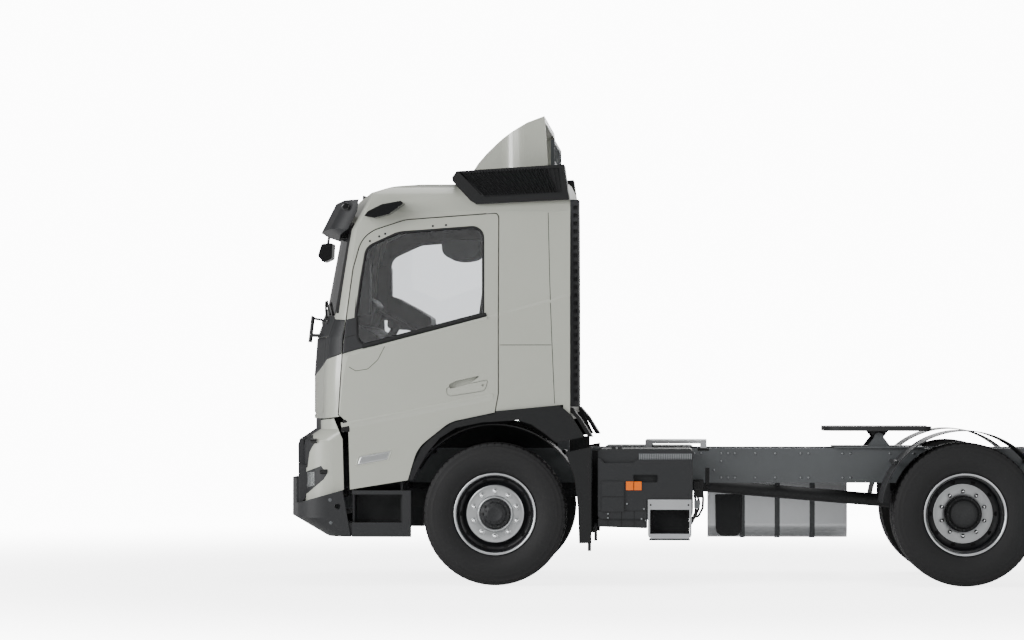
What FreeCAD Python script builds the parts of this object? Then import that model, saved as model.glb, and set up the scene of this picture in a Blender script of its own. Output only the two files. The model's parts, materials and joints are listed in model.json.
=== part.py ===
"""Two-axle tractor unit with a tilting sleeper cab, in millimetres.

-X is forward, +Z is up and -Y is the vehicle's left. The origin is on the ground, under the middle of the vehicle.
"""
import FreeCAD
import Part
import math
import os

V = FreeCAD.Vector

# Overall sizes
WHEELBASE = 3500.0
FRONT_OVERHANG = 1613.0
REAR_OVERHANG = 800.0
HALF_WIDTH = 1245.0
TILT_AXIS_BACK = 113.0
TILT_AXIS_Z = 600.0
RUN_GAP = 8.0
SEAT_GAP = 0.3
CUT = 40.0
TINY = 0.001

NOSE_X = -(FRONT_OVERHANG + WHEELBASE + REAR_OVERHANG) / 2
AXLE_F = NOSE_X + FRONT_OVERHANG
AXLE_R = AXLE_F + WHEELBASE
TAIL_X = AXLE_R + REAR_OVERHANG
TILT_X = NOSE_X + TILT_AXIS_BACK

# Wheels
TYRE_R = 536.0
BEAD_R = 287.0
FRONT_TYRE_W = 385.0
REAR_TYRE_W = 306.0
TWIN_SPACING = 350.0
FRONT_TRACK_HALF = 1035.0
REAR_TRACK_HALF = 909.0
RIM_FLANGE_R = 309.0
RIM_WALL = 12.0
HUB_FACE_R = 218.0
HUB_R = 134.0
HUB_CAP_R = 114.0
NUT_CIRCLE_R = 167.5
NUT_R = 19.0
NUT_COUNT = 10
VENT_COUNT = 10
VENT_R = 22.0

# Cab
CAB_BACK = 564.0
CAB_LOW_Z = 1240.0
CAB_ROOF_Z = 3046.0
CAB_WALL = 50.0
SKIRT_WALL = 22.0
SKIRT_LOW_Z = 719.0
ROOF_SEAM_Z = 2800.0
GLASS = 8.0
GLASS_INSET = 10.0


def corner(u, v, r=0.0):
    """One outline corner: two coordinates and the radius that rounds it."""
    return (u, v, r)


def wire(corners):
    """Closed wire through 3-D corners, each given with the radius that rounds it."""
    spans = []
    for i, (c, r) in enumerate(corners):
        if r <= 0:
            spans.append((c, None, c))
            continue
        back = (corners[i - 1][0] - c).normalize()
        ahead = (corners[(i + 1) % len(corners)][0] - c).normalize()
        half = back.getAngle(ahead) / 2
        reach = r / math.tan(half)
        middle = (back + ahead).normalize()
        spans.append((c + back * reach, c + middle * (r / math.sin(half) - r), c + ahead * reach))
    edges = []
    for i, (start, mid, end) in enumerate(spans):
        if mid is not None:
            edges.append(Part.Arc(start, mid, end).toShape())
        following = spans[(i + 1) % len(spans)][0]
        if not following.isEqual(end, TINY):
            edges.append(Part.makeLine(end, following))
    return Part.Wire(edges)


def side_wire(corners, y=0.0):
    return wire([(V(u, y, v), r) for u, v, r in corners])


def front_wire(corners, x=0.0):
    return wire([(V(x, u, v), r) for u, v, r in corners])


def plan_wire(corners, z=0.0):
    return wire([(V(u, v, z), r) for u, v, r in corners])


def side_plate(corners, y0, y1):
    """Outline in X and Z, as thick as from y0 to y1."""
    return Part.Face(side_wire(corners, y0)).extrude(V(0, y1 - y0, 0))


def front_plate(corners, x0, x1):
    """Outline in Y and Z, as thick as from x0 to x1."""
    return Part.Face(front_wire(corners, x0)).extrude(V(x1 - x0, 0, 0))


def plan_plate(corners, z0, z1):
    """Outline in X and Y, as thick as from z0 to z1."""
    return Part.Face(plan_wire(corners, z0)).extrude(V(0, 0, z1 - z0))


def block(x0, x1, y0, y1, z0, z1):
    return Part.makeBox(x1 - x0, y1 - y0, z1 - z0, V(x0, y0, z0))


def rod(start, end, radius):
    return Part.makeCylinder(radius, (end - start).Length, start, end - start)


def across(radius, x, z, y0, y1):
    """Round bar along Y."""
    return Part.makeCylinder(radius, y1 - y0, V(x, y0, z), V(0, 1, 0))


def turned(corners, x, y, z):
    """Ring turned about an axis along Y. Corners are (radius, offset along Y, rounding)."""
    face = Part.Face(wire([(V(x + r, y + w, z), c) for r, w, c in corners]))
    return face.revolve(V(x, y, z), V(0, 1, 0), 360)


def mirrored(shape):
    return shape.mirror(V(0, 0, 0), V(0, 1, 0))


def pair(shape):
    """The piece and its mirror image on the other side."""
    return Part.makeCompound([shape, mirrored(shape)])


def fused(shapes):
    return shapes[0].multiFuse(shapes[1:]).removeSplitter() if len(shapes) > 1 else shapes[0]


def solids(shape):
    """Only the solids of a shape, as one compound."""
    found = shape.Solids
    return found[0] if len(found) == 1 else Part.makeCompound(found)


def at(shares, x, z, length, height, radius=0.0):
    """Outline whose corners are shares of a length and a height, rounded by shares of a radius."""
    return [corner(x + row[0] * length, z + row[1] * height, (row[2] if len(row) > 2 else 0) * radius)
            for row in shares]


# Cab body

CAB_X0 = AXLE_F - 1453.0
CAB_X1 = AXLE_F + CAB_BACK
CAB_LENGTH = CAB_X1 - CAB_X0
CAB_HEIGHT = CAB_ROOF_Z - SKIRT_LOW_Z
ROOF_LINE_shares = [(-0.1, -0.1), (1, -0.1), (1, 0.93), (0.986, 1), (0.558, 1, 1), (0.340, 0.980, 0.6),
                    (0.1775, 0.934, 0.05), (-0.1, 0.794)]
ROOF_LINE_R = 900.0
NOSE_LINE_shares = [(0, -0.02), (0, 0.36), (0.0115, 0.49), (0.032, 0.541), (0.0363, 0.55),
                    (0.0987, 0.839), (0.1634, 0.935), (0.191, 1.02)]
NOSE_BULGE = 210.0
NOSE_CORNER_R = 210.0
NOSE_CROWN_R = 2500.0
NOSE_FLAT_share = 0.3
BELT_SLOPE_share = 0.268
BELT_FRONT_Z = 1622.0
CREASE_SLOPE_share = 0.195
CREASE_FRONT_Z = 1147.0
BELT_STEP = 22.0
BELT_HALF = 1243.0
CREASE_HALF = 1226.0
SILL_HALF = 1232.0
EAVE_HALF = 1165.0
EAVE_Z = 2800.0
ROOF_SHOULDER_HALF = 1110.0
ROOF_FLAT_HALF = 880.0
ROOF_SHOULDER_DROP = 60.0
ROOF_CROWN_DROP = 26.0
ROOF_EDGE_R = 130.0


def cab_section(x, inset):
    """Cross-section of the cab at x, with its belt and its crease higher towards the back."""
    belt = BELT_FRONT_Z + BELT_SLOPE_share * (x - CAB_X0)
    crease = CREASE_FRONT_Z + CREASE_SLOPE_share * (x - CAB_X0)
    half = [corner(HALF_WIDTH - inset, SKIRT_LOW_Z - CUT), corner(CREASE_HALF - inset, crease),
            corner(BELT_HALF - inset, belt), corner(SILL_HALF - inset, belt + BELT_STEP),
            corner(EAVE_HALF - inset, EAVE_Z),
            corner(ROOF_SHOULDER_HALF - inset, CAB_ROOF_Z - ROOF_SHOULDER_DROP - inset, ROOF_EDGE_R),
            corner(ROOF_FLAT_HALF - inset, CAB_ROOF_Z - ROOF_CROWN_DROP - inset, ROOF_EDGE_R)]
    top = [corner(0, CAB_ROOF_Z - inset)]
    left = [corner(-u, v, r) for u, v, r in reversed(half)]
    return front_wire(half + top + left, x)


def bow_wire(nose, tail, half, bulge, radius, z, crown=NOSE_CROWN_R):
    """Plan outline with a bowed front, flat at the nose, and rounded front corners."""
    flat = half * NOSE_FLAT_share
    return plan_wire([corner(tail, half), corner(tail, -half), corner(nose + bulge, -half, radius),
                      corner(nose, -flat, crown), corner(nose, flat, crown),
                      corner(nose + bulge, half, radius)], z)


def cab_solid(inset):
    """Cab as the common part of its roof line, its plan at each height and its cross-section, held in by inset."""
    roof = Part.Face(side_wire(at(ROOF_LINE_shares, CAB_X0, SKIRT_LOW_Z, CAB_LENGTH, CAB_HEIGHT, ROOF_LINE_R),
                               -HALF_WIDTH - CUT))
    if inset > 0:
        roof = roof.makeOffset2D(-inset)
    roof = roof.extrude(V(0, (HALF_WIDTH + CUT) * 2, 0))
    plans = [bow_wire(CAB_X0 + u * CAB_LENGTH + inset, CAB_X1 + CUT, HALF_WIDTH - inset, NOSE_BULGE,
                      NOSE_CORNER_R - inset, SKIRT_LOW_Z + v * CAB_HEIGHT) for u, v in NOSE_LINE_shares]
    plan = Part.makeLoft(plans, True, True)
    cross = Part.makeLoft([cab_section(CAB_X0 - CUT, inset), cab_section(CAB_X1 + CUT, inset)], True, True)
    return roof.common(plan).common(cross)


# Door: outline, window and handle, as shares of the door's own length and height

DOOR_X = AXLE_F - 1167.0
DOOR_LENGTH = 1192.0
DOOR_HEIGHT = 2066.0
DOOR_R = 100.0
DOOR_INNER_Y = 1090.0
DOOR_shares = [(0.072, 0), (0.435, 0.034), (0.494, 0.150, 2.5), (0.700, 0.245, 2.5), (0.979, 0.279), (1, 0.348),
               (1, 1, 0.3), (0.414, 0.976, 2.5), (0.150, 0.926, 2.2), (0.090, 0.800, 2.0), (0.030, 0.537), (0, 0.271),
               (0.059, 0.239)]
WINDOW_shares = [(0.171, 0.878, 1), (0.372, 0.931, 2), (0.904, 0.953, 0.8), (0.907, 0.627, 0.1),
                 (0.120, 0.508, 0.9), (0.109, 0.640, 2), (0.137, 0.760, 2)]


# Handle: the hand room is deep, the pull and the lock plate lie in a narrow groove
HANDLE_X = AXLE_F - 355.0
HANDLE_LOW_Z = 1415.0
HANDLE_LENGTH = 305.0
HANDLE_HEIGHT = 165.0
HANDLE_R = 30.0
HANDLE_DEPTH = 30.0
SKIN_DROP = 16.0
PULL_GROOVE = 5.0
PULL_GROOVE_DEPTH = 10.0
LOCK_R = 9.0
LOCK_shares = (0.88, 0.50)
HAND_ROOM_shares = [(0.06, 0.34, 0.5), (0.22, 0.40), (0.55, 0.56), (0.84, 0.96, 0.2), (0.21, 0.70, 1.6), (0.04, 0.54, 0.6)]
PULL_shares = [(0, 0, 1), (0.92, 0.27, 1.2), (1, 0.74, 0.3), (0.55, 0.56), (0.22, 0.40), (0, 0.40, 0.5)]


def door_outline(grow=0.0):
    """Prism over the left door's outline, grown by a gap all round."""
    face = Part.Face(side_wire(at(DOOR_shares, DOOR_X, SKIRT_LOW_Z, DOOR_LENGTH, DOOR_HEIGHT, DOOR_R),
                               -HALF_WIDTH - CUT))
    if grow > 0:
        face = face.makeOffset2D(grow, 2)
    return face.extrude(V(0, HALF_WIDTH + CUT - DOOR_INNER_Y, 0))


def window_outline(grow=0.0):
    face = Part.Face(side_wire(at(WINDOW_shares, DOOR_X, SKIRT_LOW_Z, DOOR_LENGTH, DOOR_HEIGHT, DOOR_R),
                               -HALF_WIDTH - CUT))
    if grow > 0:
        face = face.makeOffset2D(grow)
    return face.extrude(V(0, HALF_WIDTH + CUT - DOOR_INNER_Y, 0))


def handle_prism(shares, grow, bottom):
    """Prism over a part of the handle, from outside the skin in to a depth."""
    face = Part.Face(side_wire(at(shares, HANDLE_X, HANDLE_LOW_Z, HANDLE_LENGTH, HANDLE_HEIGHT, HANDLE_R),
                               -HALF_WIDTH - CUT))
    if grow > 0:
        face = face.makeOffset2D(grow)
    return face.extrude(V(0, HALF_WIDTH + CUT - bottom, 0))


def make_doors(outer, inner, thin, pane_out, pane_in):
    """Thick upper door with its window cut, thin skirt over the steps, and the glass."""
    above = block(CAB_X0, CAB_X1, -HALF_WIDTH - CUT, -DOOR_INNER_Y, CAB_LOW_Z, CAB_ROOF_Z)
    below = block(CAB_X0, CAB_X1, -HALF_WIDTH - CUT, -DOOR_INNER_Y, SKIRT_LOW_Z - CUT, CAB_LOW_Z)
    shape = door_outline()
    upper = outer.common(shape).common(above).cut(inner)
    skirt = outer.common(shape).common(below).cut(thin)
    door = fused([upper, skirt]).cut(window_outline())
    bottom = HALF_WIDTH - SKIN_DROP
    room = handle_prism(HAND_ROOM_shares, 0, bottom - HANDLE_DEPTH)
    groove = handle_prism(PULL_shares, PULL_GROOVE, bottom - PULL_GROOVE_DEPTH)
    groove = groove.cut(handle_prism(PULL_shares, 0, bottom - HANDLE_DEPTH))
    lock = across(LOCK_R, HANDLE_X + LOCK_shares[0] * HANDLE_LENGTH, HANDLE_LOW_Z + LOCK_shares[1] * HANDLE_HEIGHT,
                  -HALF_WIDTH - CUT, -bottom + PULL_GROOVE_DEPTH)
    door = door.cut(room).cut(groove).cut(lock)
    glass = pane_out.common(window_outline()).cut(pane_in)
    return solids(door), solids(glass)


# Cab panels

SPLIT_X = AXLE_F - 800.0
SIDE_LOW_FRONT_Z = 1304.0
SIDE_LOW_BACK_Z = 1362.0
FLOOR_T = 60.0
FLOOR_HALF = 1158.0
FLOOR_X = AXLE_F - 1115.0
FIREWALL_X = AXLE_F - 1235.0
FIREWALL_T = 20.0
STOP_LENGTH = 80.0
STOP_LAP = 30.0
STOP_WALL = 12.0
SHIELD_TOP_Z = 2730.0
SHIELD_LOW_Z = 2022.0
SHIELD_TOP_HALF = 1035.0
SHIELD_LOW_HALF = 1105.0
SHIELD_R = 80.0
LID_TOP_Z = 1855.0
LID_LOW_Z = 1290.0
LID_LOW_GAP = 14.0
LID_SEAT = 25.0
LID_HALF = 985.0
LID_R = 60.0
LID_T = 36.0


def front_hole(top, low, top_half, low_half, radius, depth):
    """Prism through the cab's front."""
    return front_plate([corner(-low_half, low, radius), corner(low_half, low, radius),
                        corner(top_half, top, radius), corner(-top_half, top, radius)], CAB_X0 - CUT,
                       CAB_X0 + depth)


def shield_outline(depth):
    return front_hole(SHIELD_TOP_Z, SHIELD_LOW_Z, SHIELD_TOP_HALF, SHIELD_LOW_HALF, SHIELD_R, depth)


def lid_outline(gap, depth):
    low = LID_LOW_Z - (LID_LOW_GAP if gap > 0 else gap)
    return front_hole(LID_TOP_Z + gap, low, LID_HALF + gap, LID_HALF + gap, LID_R, depth)


def make_cab(outer, inner, pane_out, pane_in):
    skin = outer.cut(inner)
    hole = door_outline(RUN_GAP)
    skin = skin.cut(hole).cut(mirrored(hole))
    wide = HALF_WIDTH + CUT
    roof = skin.common(block(CAB_X0 - CUT, CAB_X1 + CUT, -wide, wide, ROOF_SEAM_Z, CAB_ROOF_Z + CUT))
    body = skin.common(block(CAB_X0 - CUT, CAB_X1 + CUT, -wide, wide, CAB_LOW_Z, ROOF_SEAM_Z))
    low_edge = side_plate([corner(CAB_X0 - CUT, CAB_LOW_Z - CUT), corner(CAB_X1 + CUT, CAB_LOW_Z - CUT),
                           corner(CAB_X1 + CUT, SIDE_LOW_BACK_Z), corner(AXLE_F, SIDE_LOW_FRONT_Z),
                           corner(DOOR_X, SIDE_LOW_FRONT_Z - CUT),
                           corner(FIREWALL_X - FLOOR_T, CAB_LOW_Z + RUN_GAP),
                           corner(CAB_X0 - CUT, CAB_LOW_Z + RUN_GAP)],
                          -wide, wide)
    back = body.common(block(CAB_X1 - CAB_WALL, CAB_X1 + CUT, -wide, wide, CAB_LOW_Z, ROOF_SEAM_Z))
    sides = body.common(block(SPLIT_X, CAB_X1 - CAB_WALL, -wide, wide, CAB_LOW_Z, ROOF_SEAM_Z)).cut(low_edge)
    front = body.common(block(CAB_X0 - CUT, SPLIT_X, -wide, wide, CAB_LOW_Z, ROOF_SEAM_Z)).cut(low_edge)
    front = front.cut(shield_outline(CAB_LENGTH / 4)).cut(lid_outline(-LID_SEAT, FIREWALL_X - CAB_X0))
    lid_room = outer.cut(outer.translated(V(LID_T + SEAT_GAP, 0, 0)))
    front = front.cut(lid_room.common(lid_outline(RUN_GAP, FIREWALL_X - CAB_X0)))
    room = inner.common(block(FIREWALL_X, CAB_X1, -wide, wide, CAB_LOW_Z, ROOF_SEAM_Z))
    firewall = room.common(block(FIREWALL_X, FIREWALL_X + FIREWALL_T, -wide, wide, CAB_LOW_Z + CUT,
                                 SHIELD_LOW_Z - CUT / 2))
    toe = room.common(block(FIREWALL_X, FLOOR_X, -wide, wide, CAB_LOW_Z + CUT, CAB_LOW_Z + FLOOR_T))
    front = fused([front, fused([firewall, toe]).cut(hole).cut(mirrored(hole))])
    floor = room.common(block(FLOOR_X, CAB_X1 - CAB_WALL, -FLOOR_HALF, FLOOR_HALF, CAB_LOW_Z,
                              CAB_LOW_Z + FLOOR_T))
    stop = cab_solid(CAB_WALL + SEAT_GAP).cut(cab_solid(CAB_WALL + SEAT_GAP + STOP_WALL))
    edge = DOOR_X + DOOR_LENGTH
    stop = stop.common(block(edge - STOP_LAP, edge + STOP_LENGTH, -wide, wide, CAB_LOW_Z + FLOOR_T, EAVE_Z - CUT))
    sides = Part.makeCompound([sides, stop])
    lid = outer.cut(outer.translated(V(LID_T, 0, 0))).common(lid_outline(0, CAB_LENGTH / 6))
    shield = pane_out.common(shield_outline(CAB_LENGTH / 4)).cut(pane_out.translated(V(GLASS, 0, 0)))
    return {"cab_roof": roof, "cab_back_wall": back, "cab_sides": sides, "cab_front": front, "cab_floor": floor,
            "front_lid": lid, "windshield": shield}


# Frame

RAIL_HEIGHT = 266.0
RAIL_TOP_Z = 1019.0
RAIL_HALF = 425.0
RAIL_FLANGE = 90.0
RAIL_WALL = 8.0
RAIL_REACH = 1250.0
RAIL_X = AXLE_F - RAIL_REACH
CROSS_LENGTH = 70.0
CROSS_HEIGHT = 180.0
CROSS_WALL = 10.0
CROSS_DROP = 12.0
CROSS_PLACES_shares = (0.36, 0.60, 0.83, 1.13)
TAIL_PLATE = 14.0
TAIL_PLATE_H = 220.0
TAIL_HOLE_R = 9.0
TAIL_HOLE_HALF = 260.0
TAIL_HOLE_RISE = 70.0
POST_X = AXLE_F + 440.0
POST_LENGTH = 90.0
POST_WIDTH = 70.0
ARM_HALF = 510.0
ARM_T = 50.0
ARM_EYE_R = 46.0
ARM_TOP = 120.0
ARM_BEND_R = 140.0
PIN_R = 20.0
PIN_GAP = 0.3
TILT_PLATE = 24.0
TILT_FOOT = 60.0
BUMPER_BEAM_Z = 400.0
BUMPER_BEAM_H = 140.0


def make_frame():
    top = RAIL_TOP_Z
    low = RAIL_TOP_Z - RAIL_HEIGHT
    web = RAIL_HALF - RAIL_WALL
    lip = RAIL_HALF - RAIL_FLANGE
    rail = front_plate([corner(-RAIL_HALF, low), corner(-lip, low), corner(-lip, low + RAIL_WALL),
                        corner(-web, low + RAIL_WALL), corner(-web, top - RAIL_WALL),
                        corner(-lip, top - RAIL_WALL), corner(-lip, top), corner(-RAIL_HALF, top)], RAIL_X, TAIL_X)
    pieces = []
    for share in CROSS_PLACES_shares:
        x = AXLE_F + share * WHEELBASE
        z = top - RAIL_WALL - CROSS_DROP
        bar = block(x, x + CROSS_LENGTH, -web, web, z - CROSS_HEIGHT, z)
        pieces.append(bar.cut(block(x + CROSS_WALL, x + CROSS_LENGTH + CUT, -web - CUT, web + CUT,
                                    z - CROSS_HEIGHT + CROSS_WALL, z - CROSS_WALL)))
    middle = low + RAIL_HEIGHT / 2
    tail = block(TAIL_X - TAIL_PLATE, TAIL_X, -web, web, middle - TAIL_PLATE_H / 2, middle + TAIL_PLATE_H / 2)
    for y in (-TAIL_HOLE_HALF, TAIL_HOLE_HALF):
        for z in (middle - TAIL_HOLE_RISE, middle + TAIL_HOLE_RISE):
            tail = tail.cut(rod(V(TAIL_X - TAIL_PLATE - CUT, y, z), V(TAIL_X + CUT, y, z), TAIL_HOLE_R))
    pieces.append(tail)
    flange = RAIL_HALF - RAIL_FLANGE / 2
    post = block(POST_X, POST_X + POST_LENGTH, -flange - POST_WIDTH / 2, -flange + POST_WIDTH / 2, top,
                 CAB_LOW_Z - SEAT_GAP)
    beam_top = BUMPER_BEAM_Z + BUMPER_BEAM_H
    plate = side_plate([corner(TILT_X - TILT_FOOT, beam_top), corner(TILT_X + TILT_FOOT, beam_top),
                        corner(RAIL_X + RAIL_HEIGHT / 2, low), corner(RAIL_X + RAIL_HEIGHT / 2, top - RAIL_HEIGHT / 4),
                        corner(RAIL_X, top - RAIL_HEIGHT / 4), corner(TILT_X - TILT_FOOT, TILT_AXIS_Z + ARM_EYE_R)],
                       -RAIL_HALF - TILT_PLATE, -RAIL_HALF)
    pin = across(PIN_R, TILT_X, TILT_AXIS_Z, -ARM_HALF - ARM_T / 2 - SEAT_GAP, -RAIL_HALF)
    cap = across(PIN_R * 1.5, TILT_X, TILT_AXIS_Z, -ARM_HALF - ARM_T - SEAT_GAP, -ARM_HALF - ARM_T / 2 - SEAT_GAP)
    bracket = fused([plate, pin, cap])
    arm_top = CAB_LOW_Z
    arm = side_plate([corner(FLOOR_X, arm_top), corner(FLOOR_X + ARM_TOP, arm_top),
                      corner(FLOOR_X + ARM_TOP, TILT_AXIS_Z - ARM_EYE_R, ARM_BEND_R),
                      corner(TILT_X, TILT_AXIS_Z - ARM_EYE_R), corner(TILT_X, TILT_AXIS_Z + ARM_EYE_R),
                      corner(FLOOR_X, TILT_AXIS_Z + ARM_EYE_R, ARM_EYE_R)],
                     -ARM_HALF - ARM_T / 2, -ARM_HALF + ARM_T / 2)
    arm = arm.fuse(across(ARM_EYE_R, TILT_X, TILT_AXIS_Z, -ARM_HALF - ARM_T / 2, -ARM_HALF + ARM_T / 2))
    arm = arm.cut(across(PIN_R + PIN_GAP, TILT_X, TILT_AXIS_Z, -ARM_HALF - ARM_T, -ARM_HALF + ARM_T))
    return {"frame_rails": pair(fused([rail, post, bracket])), "crossmembers": Part.makeCompound(pieces)}, arm


# Engine, axles and springs

LUG_T = 46.0
LUG_GAP = 5.0

ENGINE_HALF = 322.0
ENGINE_X = AXLE_F - 1040.0
ENGINE_LENGTH = 1120.0
ENGINE_LOW_Z = 560.0
ENGINE_TOP_Z = 1190.0
GEARBOX_HALF = 230.0
GEARBOX_LENGTH = 800.0
GEARBOX_LOW_Z = 640.0
GEARBOX_TOP_Z = 1000.0
MOUNT_LENGTH = 120.0
MOUNT_HEIGHT = 90.0
RADIATOR_LENGTH = 90.0
RADIATOR_HALF = 430.0
RADIATOR_TOP_Z = 1165.0
SHAFT_R = 50.0
SHAFT_START_Z = 780.0
SHAFT_END_Z = 590.0
YOKE_R = 75.0
YOKE_LENGTH = 90.0
DIFF_R = 215.0
DIFF_HALF = 190.0
DIFF_NOSE = 330.0
DIFF_NOSE_R = 105.0
AXLE_TUBE_R = 72.0
REAR_BRAKE_R = 205.0
REAR_BRAKE_HALF = 600.0
REAR_BRAKE_W = 120.0
REAR_SPINDLE_R = 60.0
KINGPIN_HALF = 870.0
KINGPIN_R = 25.0
BOSS_R = 50.0
BOSS_HEIGHT = 130.0
BEAM_LENGTH = 100.0
BEAM_HEIGHT = 95.0
BEAM_DROP = 100.0
BEAM_FLAT_HALF = 560.0
SPRING_HALF = 425.0
SPRING_WIDTH = 80.0
LEAF_T = 26.0
SPRING_REACH = 760.0
SPRING_RISE = 95.0
HANGER_T = 60.0
BELLOWS_R = 120.0
BELLOWS_HALF = 300.0
BELLOWS_REACH = 400.0
ARM_REACH = 520.0
ARM_DEPTH = 60.0


def make_drive():
    web = RAIL_HALF - RAIL_WALL
    engine_end = ENGINE_X + ENGINE_LENGTH
    engine = block(ENGINE_X, engine_end, -ENGINE_HALF, ENGINE_HALF, ENGINE_LOW_Z, ENGINE_TOP_Z)
    gearbox = block(engine_end, engine_end + GEARBOX_LENGTH, -GEARBOX_HALF, GEARBOX_HALF, GEARBOX_LOW_Z,
                    GEARBOX_TOP_Z)
    mid = RAIL_TOP_Z - RAIL_HEIGHT / 2
    mounts = [block(x, x + MOUNT_LENGTH, -web, web, mid - MOUNT_HEIGHT / 2, mid + MOUNT_HEIGHT / 2)
              for x in (ENGINE_X + MOUNT_LENGTH, engine_end - MOUNT_LENGTH * 2)]
    radiator = block(ENGINE_X - RADIATOR_LENGTH, ENGINE_X, -RADIATOR_HALF, RADIATOR_HALF, RAIL_TOP_Z,
                     RADIATOR_TOP_Z)
    radiator = radiator.fuse(block(ENGINE_X - RADIATOR_LENGTH, ENGINE_X, -ENGINE_HALF, ENGINE_HALF, ENGINE_LOW_Z,
                                   RAIL_TOP_Z))
    start = V(engine_end + GEARBOX_LENGTH, 0, SHAFT_START_Z)
    end = V(AXLE_R - DIFF_NOSE, 0, SHAFT_END_Z)
    way = (end - start).normalize()
    shaft = fused([rod(start, end, SHAFT_R), rod(start, start + way * YOKE_LENGTH, YOKE_R),
                   rod(end - way * YOKE_LENGTH, end, YOKE_R)])
    shaft = shaft.cut(gearbox).cut(block(end.x, end.x + YOKE_LENGTH, -YOKE_R * 2, YOKE_R * 2, 0, RAIL_TOP_Z))
    diff = across(DIFF_R, AXLE_R, TYRE_R, -DIFF_HALF, DIFF_HALF)
    nose = rod(V(AXLE_R - DIFF_NOSE, 0, SHAFT_END_Z), V(AXLE_R, 0, TYRE_R), DIFF_NOSE_R)
    nose = nose.common(block(AXLE_R - DIFF_NOSE, AXLE_R, -DIFF_R, DIFF_R, 0, RAIL_TOP_Z))
    tube = across(AXLE_TUBE_R, AXLE_R, TYRE_R, -REAR_BRAKE_HALF, REAR_BRAKE_HALF)
    brake = across(REAR_BRAKE_R, AXLE_R, TYRE_R, -REAR_BRAKE_HALF - REAR_BRAKE_W, -REAR_BRAKE_HALF)
    spindle = across(REAR_SPINDLE_R, AXLE_R, TYRE_R, -REAR_TRACK_HALF, -REAR_BRAKE_HALF)
    rear = fused([diff, nose, tube, brake, spindle, mirrored(brake), mirrored(spindle)])
    top = TYRE_R + BOSS_HEIGHT / 2
    boss = rod(V(AXLE_F, -KINGPIN_HALF, top - BOSS_HEIGHT), V(AXLE_F, -KINGPIN_HALF, top), BOSS_R)
    kingpin = rod(V(AXLE_F, -KINGPIN_HALF, top - BOSS_HEIGHT - LUG_T - LUG_GAP),
                  V(AXLE_F, -KINGPIN_HALF, top + LUG_T + LUG_GAP), KINGPIN_R)
    low = TYRE_R - BEAM_DROP - BEAM_HEIGHT / 2
    beam = front_plate([corner(-KINGPIN_HALF, TYRE_R - BEAM_HEIGHT / 2), corner(-BEAM_FLAT_HALF, low),
                        corner(BEAM_FLAT_HALF, low), corner(KINGPIN_HALF, TYRE_R - BEAM_HEIGHT / 2),
                        corner(KINGPIN_HALF, TYRE_R + BEAM_HEIGHT / 2), corner(BEAM_FLAT_HALF, low + BEAM_HEIGHT),
                        corner(-BEAM_FLAT_HALF, low + BEAM_HEIGHT), corner(-KINGPIN_HALF, TYRE_R + BEAM_HEIGHT / 2)],
                       AXLE_F - BEAM_LENGTH / 2, AXLE_F + BEAM_LENGTH / 2)
    seat = block(AXLE_F - BEAM_LENGTH, AXLE_F + BEAM_LENGTH, -SPRING_HALF - SPRING_WIDTH / 2,
                 -SPRING_HALF + SPRING_WIDTH / 2, low + BEAM_HEIGHT, TYRE_R + BOSS_HEIGHT / 2)
    front = fused([beam, boss, kingpin, seat, mirrored(boss), mirrored(kingpin), mirrored(seat)])
    return {"engine": fused([engine, gearbox, radiator] + mounts), "driveshaft": shaft,
            "rear_axle": rear, "front_axle": front}


def make_springs():
    z = TYRE_R + BOSS_HEIGHT / 2
    y0 = -SPRING_HALF - SPRING_WIDTH / 2
    y1 = -SPRING_HALF + SPRING_WIDTH / 2
    rise = SPRING_RISE
    reach = SPRING_REACH
    leaf = side_plate([corner(AXLE_F - reach, z + rise), corner(AXLE_F - BEAM_LENGTH, z),
                       corner(AXLE_F + BEAM_LENGTH, z), corner(AXLE_F + reach, z + rise),
                       corner(AXLE_F + reach, z + rise + LEAF_T), corner(AXLE_F + BEAM_LENGTH, z + LEAF_T * 2),
                       corner(AXLE_F - BEAM_LENGTH, z + LEAF_T * 2), corner(AXLE_F - reach, z + rise + LEAF_T)],
                      y0, y1)
    low = RAIL_TOP_Z - RAIL_HEIGHT
    ends = [block(x - HANGER_T, x + HANGER_T, y0, y1, z + rise - LEAF_T, low)
            for x in (AXLE_F - reach, AXLE_F + reach)]
    front = fused([leaf] + ends)
    arm_z = TYRE_R + AXLE_TUBE_R
    arm = block(AXLE_R - ARM_REACH, AXLE_R + ARM_REACH, y0, y1, arm_z, arm_z + ARM_DEPTH)
    arm = arm.fuse(block(AXLE_R - ARM_REACH - HANGER_T, AXLE_R - ARM_REACH, y0, y1, arm_z, low))
    x = AXLE_R + BELLOWS_REACH
    bag_z = arm_z + ARM_DEPTH
    bag = rod(V(x, -BELLOWS_HALF, bag_z), V(x, -BELLOWS_HALF, low), BELLOWS_R)
    rear = fused([arm, bag])
    return {"springs": Part.makeCompound([front, mirrored(front), rear, mirrored(rear)])}


# Front end

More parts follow.
